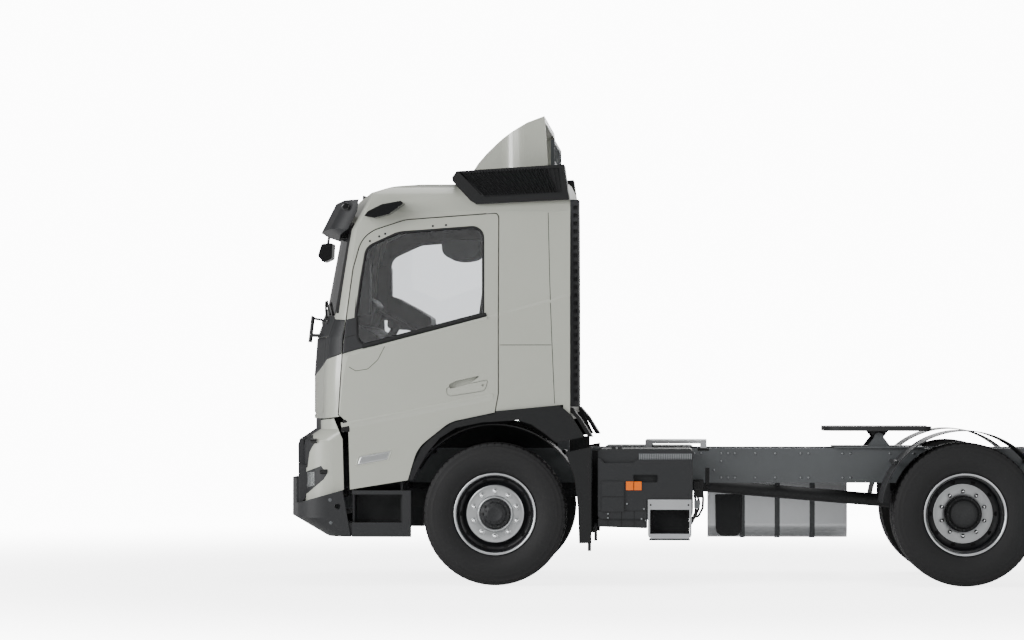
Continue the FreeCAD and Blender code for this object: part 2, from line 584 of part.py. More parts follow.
FRONT_BULGE = 150.0
FRONT_CORNER_R = 240.0
FRONT_DEPTH = 538.0
FORM_DEPTH = 800.0
BUMPER_LOW_Z = 366.0
BUMPER_CHIN_Z = 507.0
BUMPER_TOP_Z = 793.0
BUMPER_CHIN = 241.0
BUMPER_LIP = 48.0
BUMPER_WALL = 25.0
BUMPER_SIDE_FRONT_Z = 617.0
BUMPER_SIDE_BACK_Z = 715.0
BUMPER_BACK_TOP = 475.0
CORNER_INNER_HALF = 955.0
CORNER_HALF = 1190.0
CORNER_TOP_Z = 1250.0
CORNER_X = NOSE_X + 133.0
CORNER_LENGTH = 348.0
CORNER_NOSE = 48.0
CORNER_LEDGE_Z = 1085.0
CORNER_LEDGE = 129.0
CORNER_shares = [(0, 0), (1, 0.156), (0.971, 0.754), (0.770, 1), (0.388, 0.973), (0, 0.973)]
LAMP_LOW_shares = [(-0.1, 0.255), (0.145, 0.365), (0.506, 0.438), (0.557, 0.398), (0.647, 0.398), (0.638, 0.343),
                   (0.557, 0.276), (0.213, 0.122), (-0.1, 0.020)]
LAMP_HIGH_shares = [(-0.1, 0.700), (0.121, 0.782), (0.293, 0.804), (0.313, 0.765), (0.394, 0.754), (0.353, 0.698),
                    (0.302, 0.665), (0.233, 0.597), (0.184, 0.420), (-0.1, 0.360)]
LENS_shares = [(0.06, 0.17), (0.353, 0.20), (0.353, 0.365), (0.16, 0.365), (0.06, 0.30)]
LAMP_DEPTH = 42.0
LAMP_INSET = 5.0
LENS_DEPTH = 16.0
GRILLE_HALF = 945.0
GRILLE_LOW_Z = 836.0
GRILLE_WALL = 40.0
SLAT_COUNT = 5
SLAT_HEIGHT = 26.0
SLAT_HALF = 860.0
TOW_X = AXLE_F - 1174.0
TOW_Z = 592.0
TOW_R = 21.0
BEAM_HALF = 1000.0
BEAM_BACK = 185.0


def bow_form(levels, half, inset):
    """Solid through bowed plans, each level given as a nose place and a height."""
    plans = [bow_wire(x + inset, NOSE_X + FORM_DEPTH, half - inset, FRONT_BULGE, FRONT_CORNER_R - inset, z)
             for x, z in levels]
    return Part.makeLoft(plans, True, True)


def bumper_form(inset):
    return bow_form([(NOSE_X + BUMPER_CHIN, BUMPER_LOW_Z), (NOSE_X, BUMPER_CHIN_Z), (NOSE_X, BUMPER_TOP_Z)],
                    HALF_WIDTH, inset)


def corner_form(inset):
    nose = NOSE_X + CORNER_NOSE
    return bow_form([(nose, BUMPER_LOW_Z), (nose, CORNER_LEDGE_Z), (nose + CORNER_LEDGE, CORNER_TOP_Z - CUT * 2),
                     (nose + CORNER_LEDGE, CORNER_TOP_Z + CUT)], CORNER_HALF, inset)


def corner_at(shares):
    return at(shares, CORNER_X, BUMPER_SIDE_FRONT_Z, CORNER_LENGTH, CORNER_TOP_Z - BUMPER_SIDE_FRONT_Z)


def make_front():
    wide = HALF_WIDTH + CUT
    above = side_plate([corner(CORNER_X - CUT, BUMPER_SIDE_FRONT_Z), corner(CORNER_X, BUMPER_SIDE_FRONT_Z),
                        corner(CORNER_X + CORNER_LENGTH, BUMPER_SIDE_BACK_Z),
                        corner(CORNER_X + FRONT_DEPTH, BUMPER_SIDE_BACK_Z),
                        corner(CORNER_X + FRONT_DEPTH, BUMPER_TOP_Z + CUT),
                        corner(CORNER_X - CUT, BUMPER_TOP_Z + CUT)], -wide, -CORNER_INNER_HALF)
    behind = side_plate([corner(NOSE_X + BUMPER_BACK_TOP, BUMPER_TOP_Z + CUT),
                         corner(NOSE_X + BUMPER_BACK_TOP, BUMPER_SIDE_BACK_Z),
                         corner(NOSE_X + FRONT_DEPTH, BUMPER_LOW_Z), corner(NOSE_X + FRONT_DEPTH, 0),
                         corner(NOSE_X + FRONT_DEPTH * 2, 0),
                         corner(NOSE_X + FRONT_DEPTH * 2, BUMPER_TOP_Z + CUT)], -wide, wide)
    form = bumper_form(0)
    hollow = bumper_form(BUMPER_WALL)
    sunk = above.translated(V(0, 0, -BUMPER_WALL))
    ends = [above, mirrored(above)]
    bumper = form.cut(hollow.cut(sunk).cut(mirrored(sunk)))
    ledge = form.common(block(NOSE_X, NOSE_X + BUMPER_LIP, -CORNER_INNER_HALF, CORNER_INNER_HALF,
                              BUMPER_TOP_Z - BUMPER_WALL, BUMPER_TOP_Z))
    bumper = bumper.fuse(ledge).cut(behind)
    bumper = bumper.cut(across(TOW_R, TOW_X, TOW_Z, -wide, wide))
    for piece in ends:
        bumper = bumper.cut(piece)
    beam = bumper_form(BUMPER_WALL + SEAT_GAP)
    beam = beam.common(block(NOSE_X, NOSE_X + BEAM_BACK, -BEAM_HALF, BEAM_HALF, BUMPER_BEAM_Z,
                             BUMPER_BEAM_Z + BUMPER_BEAM_H))
    side = side_plate(corner_at(CORNER_shares), -wide, -CORNER_INNER_HALF)
    outer = corner_form(0)
    shell = outer.cut(corner_form(BUMPER_WALL)).common(side)
    arms = fused([side_plate(corner_at(LAMP_LOW_shares), -wide, -CORNER_INNER_HALF),
                  side_plate(corner_at(LAMP_HIGH_shares), -wide, -CORNER_INNER_HALF)])
    glass = side_plate(corner_at(LENS_shares), -wide, -CORNER_INNER_HALF)
    arms = arms.common(side)
    lamp = corner_form(LAMP_INSET).cut(corner_form(LAMP_DEPTH)).common(arms)
    lens = corner_form(LAMP_INSET).cut(corner_form(LAMP_INSET + LENS_DEPTH)).common(glass)
    shell = shell.cut(arms)
    lamp = lamp.cut(lens)
    mid = block(NOSE_X, NOSE_X + FRONT_DEPTH, -GRILLE_HALF, GRILLE_HALF, GRILLE_LOW_Z,
                CAB_LOW_Z + RUN_GAP - SEAT_GAP)
    grille = outer.cut(corner_form(GRILLE_WALL)).common(mid)
    pitch = (CORNER_LEDGE_Z - GRILLE_LOW_Z) / (SLAT_COUNT + 1)
    for i in range(SLAT_COUNT):
        z = GRILLE_LOW_Z + pitch * (i + 1)
        grille = grille.cut(block(NOSE_X, NOSE_X + FRONT_DEPTH, -SLAT_HALF, SLAT_HALF, z - SLAT_HEIGHT / 2,
                                  z + SLAT_HEIGHT / 2))
    return {"bumper": bumper, "bumper_beam": beam, "corner_panels": pair(shell), "headlamps": pair(lamp),
            "headlamp_lenses": pair(lens), "grille": grille}


# Entry steps and front mudguards

STEP_X0 = AXLE_F - 1066.0
STEP_X1 = AXLE_F - 690.0
STEP_FLANGE_X1 = AXLE_F - 625.0
STEP_FLANGE_INNER = 1190.0
STEP_INNER_HALF = 985.0
STEP_WALL = 15.0
STEP_LOW_Z = 365.0
STEP_TREAD_H = 108.0
STEP_TOP_Z = 1180.0
TREAD_T = 30.0
TREAD_SECOND_Z = 712.0
TREAD_THIRD_Z = 950.0
TREAD_THIRD_HALF = 1190.0
STEP_ARM_X = AXLE_F - 930.0
STEP_ARM_LENGTH = 90.0
STEP_ARM_Z = 800.0
STEP_ARM_H = 60.0
GUARD_R = 665.0
GUARD_WALL = 9.0
GUARD_INNER_HALF = 800.0
GUARD_OUTER_HALF = 1190.0
GUARD_LOW_Z = 323.0
GUARD_PANEL_T = 20.0
GUARD_ARC_shares = (0.028, 0.833)
STAY_R = 18.0
SHIELD_PLATE_X0 = AXLE_F - 700.0
SHIELD_PLATE_X1 = AXLE_F + 430.0
SHIELD_PLATE_TOP_Z = 1225.0
SHIELD_PLATE_LOW_Z = 1205.0
SHIELD_PLATE_T = 6.0
FLAP_X = AXLE_F + 723.0
FLAP_LENGTH = 191.0
FLAP_TOP_Z = 1038.0
FLAP_shares = [(0, 0.943), (1, 1), (1, 0), (0.524, -0.004), (0.476, 0.372), (0.351, 0.674)]


def arc_plate(x, z, radius, wall, arc_shares, y0, y1):
    """Curved sheet about a line along Y, between two shares of a half turn."""
    start, end = arc_shares
    mid = (start + end) / 2

    def place(r, share):
        return V(x + r * math.cos(share * math.pi), y0, z + r * math.sin(share * math.pi))
    outer = radius + wall
    edges = [Part.Arc(place(radius, start), place(radius, mid), place(radius, end)).toShape(),
             Part.makeLine(place(radius, end), place(outer, end)),
             Part.Arc(place(outer, end), place(outer, mid), place(outer, start)).toShape(),
             Part.makeLine(place(outer, start), place(radius, start))]
    return Part.Face(Part.Wire(edges)).extrude(V(0, y1 - y0, 0))


def make_steps():
    y1 = -STEP_INNER_HALF
    inner = block(STEP_X0, STEP_X1, y1, y1 + STEP_WALL, STEP_LOW_Z, STEP_TOP_Z)
    low = block(STEP_X0, STEP_X1, -HALF_WIDTH, y1, STEP_LOW_Z, STEP_LOW_Z + STEP_TREAD_H)
    second = block(STEP_X0, STEP_X1, -HALF_WIDTH, y1, TREAD_SECOND_Z - TREAD_T, TREAD_SECOND_Z)
    third = block(STEP_X0, STEP_X1, -TREAD_THIRD_HALF, y1, TREAD_THIRD_Z - TREAD_T, TREAD_THIRD_Z)
    front = block(STEP_X0, STEP_X0 + STEP_WALL, -TREAD_THIRD_HALF, y1, STEP_LOW_Z, STEP_TOP_Z)
    back = block(STEP_X1 - STEP_WALL, STEP_X1, -TREAD_THIRD_HALF, y1, STEP_LOW_Z, STEP_TOP_Z)
    flange_x = STEP_X1 + SEAT_GAP
    flange = block(flange_x, STEP_FLANGE_X1, -HALF_WIDTH, -STEP_FLANGE_INNER, STEP_LOW_Z, TREAD_SECOND_Z)
    flange = flange.fuse(block(flange_x, flange_x + STEP_WALL, -STEP_FLANGE_INNER, -STEP_FLANGE_INNER + CUT,
                               STEP_LOW_Z, TREAD_SECOND_Z))
    arm = block(STEP_ARM_X, STEP_ARM_X + STEP_ARM_LENGTH, y1 + STEP_WALL, -RAIL_HALF, STEP_ARM_Z,
                STEP_ARM_Z + STEP_ARM_H)
    steps = Part.makeCompound([fused([inner, low, second, third, front, back, arm]), flange])
    guard = arc_plate(AXLE_F, TYRE_R, GUARD_R, GUARD_WALL, GUARD_ARC_shares, -GUARD_OUTER_HALF, -GUARD_INNER_HALF)
    panel = block(AXLE_F + GUARD_R, AXLE_F + GUARD_R + GUARD_PANEL_T, -GUARD_OUTER_HALF, -GUARD_INNER_HALF,
                  GUARD_LOW_Z, TYRE_R + GUARD_WALL * 7)
    flap = side_plate(at(FLAP_shares, FLAP_X - FLAP_LENGTH, GUARD_LOW_Z, FLAP_LENGTH, FLAP_TOP_Z - GUARD_LOW_Z),
                      -HALF_WIDTH, -GUARD_OUTER_HALF)
    end = GUARD_ARC_shares[1] * math.pi
    foot_z = TYRE_R + GUARD_R * math.sin(end)
    foot = block(STEP_X1, AXLE_F + GUARD_R * math.cos(end), -GUARD_OUTER_HALF, -STEP_INNER_HALF, foot_z,
                 foot_z + GUARD_WALL)
    z = RAIL_TOP_Z - STAY_R * 1.5
    reach = math.sqrt((GUARD_R + GUARD_WALL) ** 2 - (z - TYRE_R) ** 2)
    stays = [across(STAY_R, x, z, -GUARD_INNER_HALF - CUT, -RAIL_HALF)
             for x in (AXLE_F - reach - STAY_R / 2, AXLE_F + reach + STAY_R / 2)]
    guard = fused([guard, panel, flap, foot] + stays)
    shield = side_plate([corner(SHIELD_PLATE_X0, RAIL_TOP_Z), corner(SHIELD_PLATE_X1, RAIL_TOP_Z),
                         corner(SHIELD_PLATE_X1, SHIELD_PLATE_LOW_Z, BOX_R * 2),
                         corner(AXLE_F, SHIELD_PLATE_TOP_Z, BOX_R * 2),
                         corner(SHIELD_PLATE_X0, SHIELD_PLATE_TOP_Z, BOX_R * 2)],
                        -RAIL_HALF, -RAIL_HALF + SHIELD_PLATE_T)
    guard = Part.makeCompound([guard, shield])
    return {"entry_steps": pair(steps), "front_mudguards": pair(guard)}


# Boxes and tanks on the frame

BATTERY_X0 = AXLE_F + 772.0
BATTERY_X1 = AXLE_F + 1477.0
BATTERY_LOW_Z = 503.0
BATTERY_TOP_Z = 1024.0
BOX_INNER_HALF = 500.0
BOX_OUTER_HALF = 1225.0
BOX_R = 28.0
BOX_GRIP_shares = [(0.38, 0.52, 0.3), (0.63, 0.52, 0.3), (0.63, 0.63, 0.3), (0.37, 0.63, 0.3)]
BOX_GRIP_DEPTH = 55.0
BOX_TOP_shares = [(-0.1, 0.86), (0.025, 0.86), (0.065, 0.795), (0.37, 0.80), (0.415, 0.845), (0.97, 0.85), (1.1, 0.84),
                  (1.1, 1.1), (-0.1, 1.1)]
BOX_TOP_DEPTH = 26.0
BOX_LID_X0 = AXLE_F + 800.0
BOX_LID_X1 = AXLE_F + 966.0
BOX_LID_LOW_Z = 556.0
BOX_LID_TOP_Z = 782.0
BOX_LID_T = 12.0
SKIRT_BAR_LOW_Z = 443.0
SKIRT_BAR_DROP = 12.0
SKIRT_BAR_T = 20.0
NICHE_X0 = AXLE_F + 1136.0
NICHE_HALF = 900.0
SIDE_STEP_X0 = AXLE_F + 1144.0
SIDE_STEP_X1 = AXLE_F + 1469.0
SIDE_STEP_LOW_Z = 357.0
SIDE_STEP_TOP_Z = 647.0
SIDE_STEP_BAR = 75.0
SIDE_STEP_FOOT = 35.0
SIDE_STEP_WALL = 16.0
SIDE_STEP_R = 30.0
SIDE_STEP_INNER = 1100.0
SIDE_STEP_OUTER = 1240.0
AIR_TANK_R = 80.0
AIR_TANK_Z = 481.0
AIR_TANK_HALF = 1000.0
AIR_TANK_X0 = AXLE_F + 1160.0
AIR_TANK_X1 = AXLE_F + 1436.0
STRAP_W = 40.0
BRACKET_H = 200.0
FUEL_GAP_FRONT = 113.0
FUEL_GAP_BACK = 183.0
FUEL_X0 = BATTERY_X1 + FUEL_GAP_FRONT
FUEL_LOW_Z = 300.0
FUEL_TOP_Z = 955.0
FUEL_INNER_HALF = 480.0
FUEL_OUTER_HALF = 1180.0
FUEL_R = 110.0
STRAP_T = 5.0
SILENCER_LOW_Z = 436.0
SILENCER_R = 70.0
CATWALK_X0 = AXLE_F + 1113.0
CATWALK_LENGTH = 470.0
CATWALK_HALF = 425.0
CATWALK_TOP_Z = 1078.0
CATWALK_T = 26.0
CATWALK_FOOT = 50.0
LAMP_BOX_LENGTH = 62.0
LAMP_BOX_LOW_Z = 780.0
LAMP_BOX_H = 120.0
LAMP_BOX_HALF = 860.0
LAMP_ARM = 40.0
REAR_GUARD_R = 620.0
REAR_GUARD_WALL = 7.0
REAR_GUARD_INNER = 565.0
REAR_GUARD_ARC_shares = (0.044, 0.956)
REAR_STAY_RISE = 384.0
FUEL_LENGTH = AXLE_R - REAR_GUARD_R - REAR_GUARD_WALL - FUEL_GAP_BACK - FUEL_X0


def make_boxes():
    box = side_plate([corner(BATTERY_X0, BATTERY_LOW_Z, BOX_R), corner(BATTERY_X1, BATTERY_LOW_Z, BOX_R),
                      corner(BATTERY_X1, BATTERY_TOP_Z, BOX_R), corner(BATTERY_X0, BATTERY_TOP_Z, BOX_R)],
                     -BOX_OUTER_HALF, -BOX_INNER_HALF)
    box = box.cut(block(NICHE_X0, BATTERY_X1 + CUT, -BOX_OUTER_HALF - CUT, -NICHE_HALF, BATTERY_LOW_Z - CUT,
                        SIDE_STEP_TOP_Z))
    box = box.cut(side_plate(at(BOX_GRIP_shares, BATTERY_X0, BATTERY_LOW_Z, BATTERY_X1 - BATTERY_X0,
                                BATTERY_TOP_Z - BATTERY_LOW_Z, BOX_R), -BOX_OUTER_HALF - CUT,
                             -BOX_OUTER_HALF + BOX_GRIP_DEPTH))
    box = box.cut(side_plate(at(BOX_TOP_shares, BATTERY_X0, BATTERY_LOW_Z, BATTERY_X1 - BATTERY_X0,
                                BATTERY_TOP_Z - BATTERY_LOW_Z), -BOX_OUTER_HALF - CUT,
                             -BOX_OUTER_HALF + BOX_TOP_DEPTH))
    lid = side_plate([corner(BOX_LID_X0, BOX_LID_LOW_Z), corner(BOX_LID_X1, BOX_LID_LOW_Z),
                      corner(BOX_LID_X1, BOX_LID_TOP_Z), corner(BOX_LID_X0, BOX_LID_TOP_Z)],
                     -BOX_OUTER_HALF - BOX_LID_T, -BOX_OUTER_HALF)
    skirt = side_plate([corner(BATTERY_X0, SKIRT_BAR_LOW_Z), corner(NICHE_X0, SKIRT_BAR_LOW_Z - SKIRT_BAR_DROP),
                        corner(NICHE_X0, BATTERY_LOW_Z), corner(BATTERY_X0, BATTERY_LOW_Z)],
                       -BOX_OUTER_HALF + SKIRT_BAR_T, -NICHE_HALF)
    box = box.fuse(lid).fuse(skirt)
    mid = RAIL_TOP_Z - RAIL_HEIGHT / 2
    brackets = [block(x, x + STRAP_W * 2, -BOX_INNER_HALF, -RAIL_HALF, mid - BRACKET_H / 2, mid + BRACKET_H / 2)
                for x in (BATTERY_X0 + STRAP_W, BATTERY_X1 - STRAP_W * 3)]
    box = fused([box] + brackets)
    step = side_plate([corner(SIDE_STEP_X0, SIDE_STEP_LOW_Z, SIDE_STEP_R),
                       corner(SIDE_STEP_X1, SIDE_STEP_LOW_Z, SIDE_STEP_R),
                       corner(SIDE_STEP_X1, SIDE_STEP_TOP_Z), corner(SIDE_STEP_X0, SIDE_STEP_TOP_Z)],
                      -SIDE_STEP_OUTER, -SIDE_STEP_INNER)
    step = step.cut(block(SIDE_STEP_X0 + SIDE_STEP_WALL, SIDE_STEP_X1 - SIDE_STEP_WALL, -SIDE_STEP_OUTER - CUT,
                          -SIDE_STEP_INNER + CUT, SIDE_STEP_LOW_Z + SIDE_STEP_FOOT,
                          SIDE_STEP_TOP_Z - SIDE_STEP_BAR))
    tank = rod(V(AIR_TANK_X0, -AIR_TANK_HALF, AIR_TANK_Z), V(AIR_TANK_X1, -AIR_TANK_HALF, AIR_TANK_Z), AIR_TANK_R)
    hooks = [block(x, x + STRAP_W, -AIR_TANK_HALF - STRAP_W / 2, -AIR_TANK_HALF + STRAP_W / 2, AIR_TANK_Z,
                   SIDE_STEP_TOP_Z) for x in (AIR_TANK_X0 + STRAP_W, AIR_TANK_X1 - STRAP_W * 2)]
    tank = fused([tank] + hooks)
    outline = [corner(FUEL_INNER_HALF, FUEL_LOW_Z, FUEL_R), corner(FUEL_OUTER_HALF, FUEL_LOW_Z, FUEL_R),
               corner(FUEL_OUTER_HALF, FUEL_TOP_Z, FUEL_R), corner(FUEL_INNER_HALF, FUEL_TOP_Z, FUEL_R)]
    fuel = front_plate(outline, FUEL_X0, FUEL_X0 + FUEL_LENGTH)
    band = Part.Face(front_wire(outline, FUEL_X0)).makeOffset2D(STRAP_T).cut(Part.Face(front_wire(outline, FUEL_X0)))
    straps = []
    for i in (1, 2, 3):
        x = FUEL_X0 + FUEL_LENGTH * i / 4 - STRAP_W / 2
        ring = band.extrude(V(STRAP_W, 0, 0)).translated(V(x - FUEL_X0, 0, 0))
        arm = block(x, x + STRAP_W, RAIL_HALF, FUEL_INNER_HALF - STRAP_T, mid - BRACKET_H / 2,
                    mid + BRACKET_H / 2)
        straps.append(ring.fuse(arm))
    silencer = side_plate([corner(BATTERY_X0, SILENCER_LOW_Z, SILENCER_R), corner(BATTERY_X1, SILENCER_LOW_Z, SILENCER_R),
                           corner(BATTERY_X1, BATTERY_TOP_Z, BOX_R), corner(BATTERY_X0, BATTERY_TOP_Z, BOX_R)],
                          BOX_INNER_HALF, BOX_OUTER_HALF)
    silencer = fused([silencer] + [mirrored(piece) for piece in brackets])
    walk = block(CATWALK_X0, CATWALK_X0 + CATWALK_LENGTH, -CATWALK_HALF, CATWALK_HALF, CATWALK_TOP_Z - CATWALK_T,
                 CATWALK_TOP_Z)
    feet = []
    for x in (CATWALK_X0, CATWALK_X0 + CATWALK_LENGTH - CATWALK_FOOT):
        foot = block(x, x + CATWALK_FOOT, -CATWALK_HALF, -CATWALK_HALF + CATWALK_FOOT, RAIL_TOP_Z,
                     CATWALK_TOP_Z - CATWALK_T)
        feet += [foot, mirrored(foot)]
    walk = fused([walk] + feet)
    lamp = block(TAIL_X - LAMP_BOX_LENGTH, TAIL_X, -LAMP_BOX_HALF, -RAIL_HALF - LAMP_ARM, LAMP_BOX_LOW_Z,
                 LAMP_BOX_LOW_Z + LAMP_BOX_H)
    holder = block(TAIL_X - LAMP_BOX_LENGTH, TAIL_X - LAMP_BOX_LENGTH / 2, -RAIL_HALF - LAMP_ARM, -RAIL_HALF,
                   LAMP_BOX_LOW_Z + LAMP_ARM, LAMP_BOX_LOW_Z + LAMP_BOX_H - LAMP_ARM)
    guard = arc_plate(AXLE_R, TYRE_R, REAR_GUARD_R, REAR_GUARD_WALL, REAR_GUARD_ARC_shares, -HALF_WIDTH,
                      -REAR_GUARD_INNER)
    reach = math.sqrt((REAR_GUARD_R + REAR_GUARD_WALL) ** 2 - REAR_STAY_RISE ** 2) + STAY_R / 2
    stays = [across(STAY_R, x, TYRE_R + REAR_STAY_RISE, -HALF_WIDTH + CUT * 2, -RAIL_HALF)
             for x in (AXLE_R - reach, AXLE_R + reach)]
    guard = fused([guard] + stays)
    return {"battery_box": fused([box, tank]), "side_step": step, "fuel_tank": fuel,
            "fuel_tank_straps": Part.makeCompound(straps), "silencer_box": silencer, "catwalk": walk,
            "rear_lamps": pair(lamp.fuse(holder)), "rear_mudguards": pair(guard)}


# Fifth wheel

COUPLING_X = AXLE_R - 600.0
COUPLING_TOP_Z = 1185.0
COUPLING_T = 36.0
COUPLING_HALF = 455.0
COUPLING_FRONT = 420.0
COUPLING_BACK = 400.0
COUPLING_R = 150.0
KING_BORE_R = 25.8
KING_SLOT_HALF = 230.0
KING_BACK = 30.0
PIVOT_Z = 1102.0
PIVOT_R = 20.0
EAR_HALF = 350.0
EAR_T = 30.0
EAR_R = 36.0
EAR_GAP = 6.0
STAND_T = 30.0
STAND_HALF = 90.0
BASE_T = 12.0
BASE_HALF = 455.0
BASE_REACH = 340.0


def make_coupling():
    plate = plan_plate([corner(COUPLING_X - COUPLING_FRONT, -COUPLING_HALF, COUPLING_R),
                        corner(COUPLING_X + COUPLING_BACK, -COUPLING_HALF, COUPLING_R / 2),
                        corner(COUPLING_X + COUPLING_BACK, COUPLING_HALF, COUPLING_R / 2),
                        corner(COUPLING_X - COUPLING_FRONT, COUPLING_HALF, COUPLING_R)],
                       COUPLING_TOP_Z - COUPLING_T, COUPLING_TOP_Z)
    king = COUPLING_X + KING_BACK
    slot = plan_plate([corner(king, -KING_BORE_R), corner(king + KING_BORE_R * 3, -KING_BORE_R),
                       corner(COUPLING_X + COUPLING_BACK + CUT, -KING_SLOT_HALF),
                       corner(COUPLING_X + COUPLING_BACK + CUT, KING_SLOT_HALF),
                       corner(king + KING_BORE_R * 3, KING_BORE_R), corner(king, KING_BORE_R)],
                      COUPLING_TOP_Z - COUPLING_T - CUT, COUPLING_TOP_Z + CUT)
    bore = rod(V(king, 0, COUPLING_TOP_Z - COUPLING_T - CUT), V(king, 0, COUPLING_TOP_Z + CUT), KING_BORE_R)
    under = COUPLING_TOP_Z - COUPLING_T
    ear = side_plate([corner(COUPLING_X - EAR_R * 2, under), corner(COUPLING_X - EAR_R, PIVOT_Z),
                      corner(COUPLING_X + EAR_R, PIVOT_Z), corner(COUPLING_X + EAR_R * 2, under)],
                     -EAR_HALF, -EAR_HALF + EAR_T)
    ear = ear.fuse(across(EAR_R, COUPLING_X, PIVOT_Z, -EAR_HALF, -EAR_HALF + EAR_T))
    ear = ear.cut(across(PIVOT_R + PIN_GAP, COUPLING_X, PIVOT_Z, -EAR_HALF - CUT, -EAR_HALF + EAR_T + CUT))
    top = fused([plate.cut(slot).cut(bore), ear, mirrored(ear)])
    base_top = RAIL_TOP_Z + BASE_T
    base = block(COUPLING_X - BASE_REACH, COUPLING_X + BASE_REACH, -BASE_HALF, BASE_HALF, RAIL_TOP_Z, base_top)
    y1 = -EAR_HALF - EAR_GAP
    stand = side_plate([corner(COUPLING_X - STAND_HALF, base_top), corner(COUPLING_X + STAND_HALF, base_top),
                        corner(COUPLING_X + EAR_R, PIVOT_Z), corner(COUPLING_X - EAR_R, PIVOT_Z)],
                       y1 - STAND_T, y1)
    stand = fused([stand, across(EAR_R, COUPLING_X, PIVOT_Z, y1 - STAND_T, y1),
                   across(PIVOT_R, COUPLING_X, PIVOT_Z, y1, -EAR_HALF + EAR_T)])
    return {"fifth_wheel": top, "fifth_wheel_base": fused([base, stand, mirrored(stand)])}


# Wheels, knuckles and tie rod

TYRE_shares = [(0, -0.365, 0), (0.11, -0.365, 0.04), (0.45, -0.5, 0.5), (0.88, -0.455, 0.15), (1, -0.40, 0.12),
               (1, 0.40, 0.12), (0.88, 0.455, 0.15), (0.45, 0.5, 0.5), (0.11, 0.365, 0.04), (0, 0.365, 0)]
GROOVE_COUNT = 4
GROOVE_DEPTH = 12.0
GROOVE_W = 11.0
RIM_SEAT_share = 0.37
TREAD_share = 0.8
FLANGE_T = 12.0
FRONT_DISC_HALF = 1128.0
FRONT_DISC_T = 18.0
FRONT_HUB_INNER = 962.0
FRONT_CAP_HALF = 1196.0
HUB_RING_T = 22.0
BEARING_GAP = 0.3
SPINDLE_R = 42.0
SPINDLE_END = 1100.0
BRAKE_R = 205.0
BRAKE_HALF = 925.0
BRAKE_T = 30.0
VENT_CIRCLE_R = 246.0
NUT_H = 34.0
REAR_DISC_T = 16.0
REAR_HUB_OUTER = 1080.0
REAR_HUB_INNER = 726.0
LUG_HALF_W = 48.0
STEER_ARM_LENGTH = 200.0
STEER_ARM_W = 50.0
STEER_ARM_T = 34.0
TIE_R = 22.0
TIE_EYE_R = 30.0
TIE_EYE_H = 40.0
TIE_PIN_R = 12.0


def make_tyre(width, centre, x):
    height = TYRE_R - BEAD_R
    rows = [(BEAD_R + u * height, centre + v * width, r * height) for u, v, r in TYRE_shares]
    tyre = turned(rows, x, 0, TYRE_R)
    tread = width * TREAD_share
    for i in range(GROOVE_COUNT):
        y = centre + tread * ((i + 0.5) / GROOVE_COUNT - 0.5)
        ring = across(TYRE_R + CUT, x, TYRE_R, y - GROOVE_W / 2, y + GROOVE_W / 2)
        tyre = tyre.cut(ring.cut(across(TYRE_R - GROOVE_DEPTH, x, TYRE_R, y - GROOVE_W, y + GROOVE_W)))
    return tyre


def make_barrel(width, centre, x):
    """Rim barrel inside a tyre, with a flange at each bead."""
    half = width * RIM_SEAT_share
    outer = BEAD_R - SEAT_GAP
    inner = BEAD_R - RIM_WALL
    reach = half + FLANGE_T
    lip = half + SEAT_GAP
    rows = [(inner, -reach), (RIM_FLANGE_R, -reach), (RIM_FLANGE_R, -lip), (outer, -lip), (outer, lip),
            (RIM_FLANGE_R, lip), (RIM_FLANGE_R, reach), (inner, reach)]
    return turned([(r, centre + w, 0) for r, w in rows], x, 0, TYRE_R)


def on_circle(radius, count, x, z):
    """Places round a wheel, the first at the top."""
    return [(x + radius * math.sin(math.tau * i / count), z + radius * math.cos(math.tau * i / count))
            for i in range(count)]


def make_front_wheel():
    c = -FRONT_TRACK_HALF
    x = AXLE_F
    z = TYRE_R
    inner = BEAD_R - RIM_WALL
    disc = turned([(HUB_R, -FRONT_DISC_HALF, 0), (HUB_FACE_R, -FRONT_DISC_HALF, 0),
                   (inner, -FRONT_DISC_HALF + CUT, 0), (inner, -FRONT_DISC_HALF + CUT + FRONT_DISC_T, 0),
                   (HUB_FACE_R, -FRONT_DISC_HALF + FRONT_DISC_T, 0), (HUB_R, -FRONT_DISC_HALF + FRONT_DISC_T, 0)],
                  x, 0, z)
    for px, pz in on_circle(VENT_CIRCLE_R, VENT_COUNT, x, z):
        disc = disc.cut(across(VENT_R, px, pz, -FRONT_DISC_HALF - CUT, -FRONT_DISC_HALF + CUT * 3))
    hub = across(HUB_R, x, z, -FRONT_DISC_HALF - HUB_RING_T, -FRONT_HUB_INNER)
    cap = across(HUB_CAP_R, x, z, -FRONT_CAP_HALF, -FRONT_DISC_HALF)
    bore = across(SPINDLE_R + BEARING_GAP, x, z, -SPINDLE_END - BEARING_GAP, -FRONT_HUB_INNER + CUT)
    rim = fused([make_barrel(FRONT_TYRE_W, c, x), disc, hub, cap]).cut(bore)
    nuts = [across(NUT_R, px, pz, -FRONT_DISC_HALF - NUT_H, -FRONT_DISC_HALF)
            for px, pz in on_circle(NUT_CIRCLE_R, NUT_COUNT, x, z)]
    return make_tyre(FRONT_TYRE_W, c, x), fused([rim] + nuts)


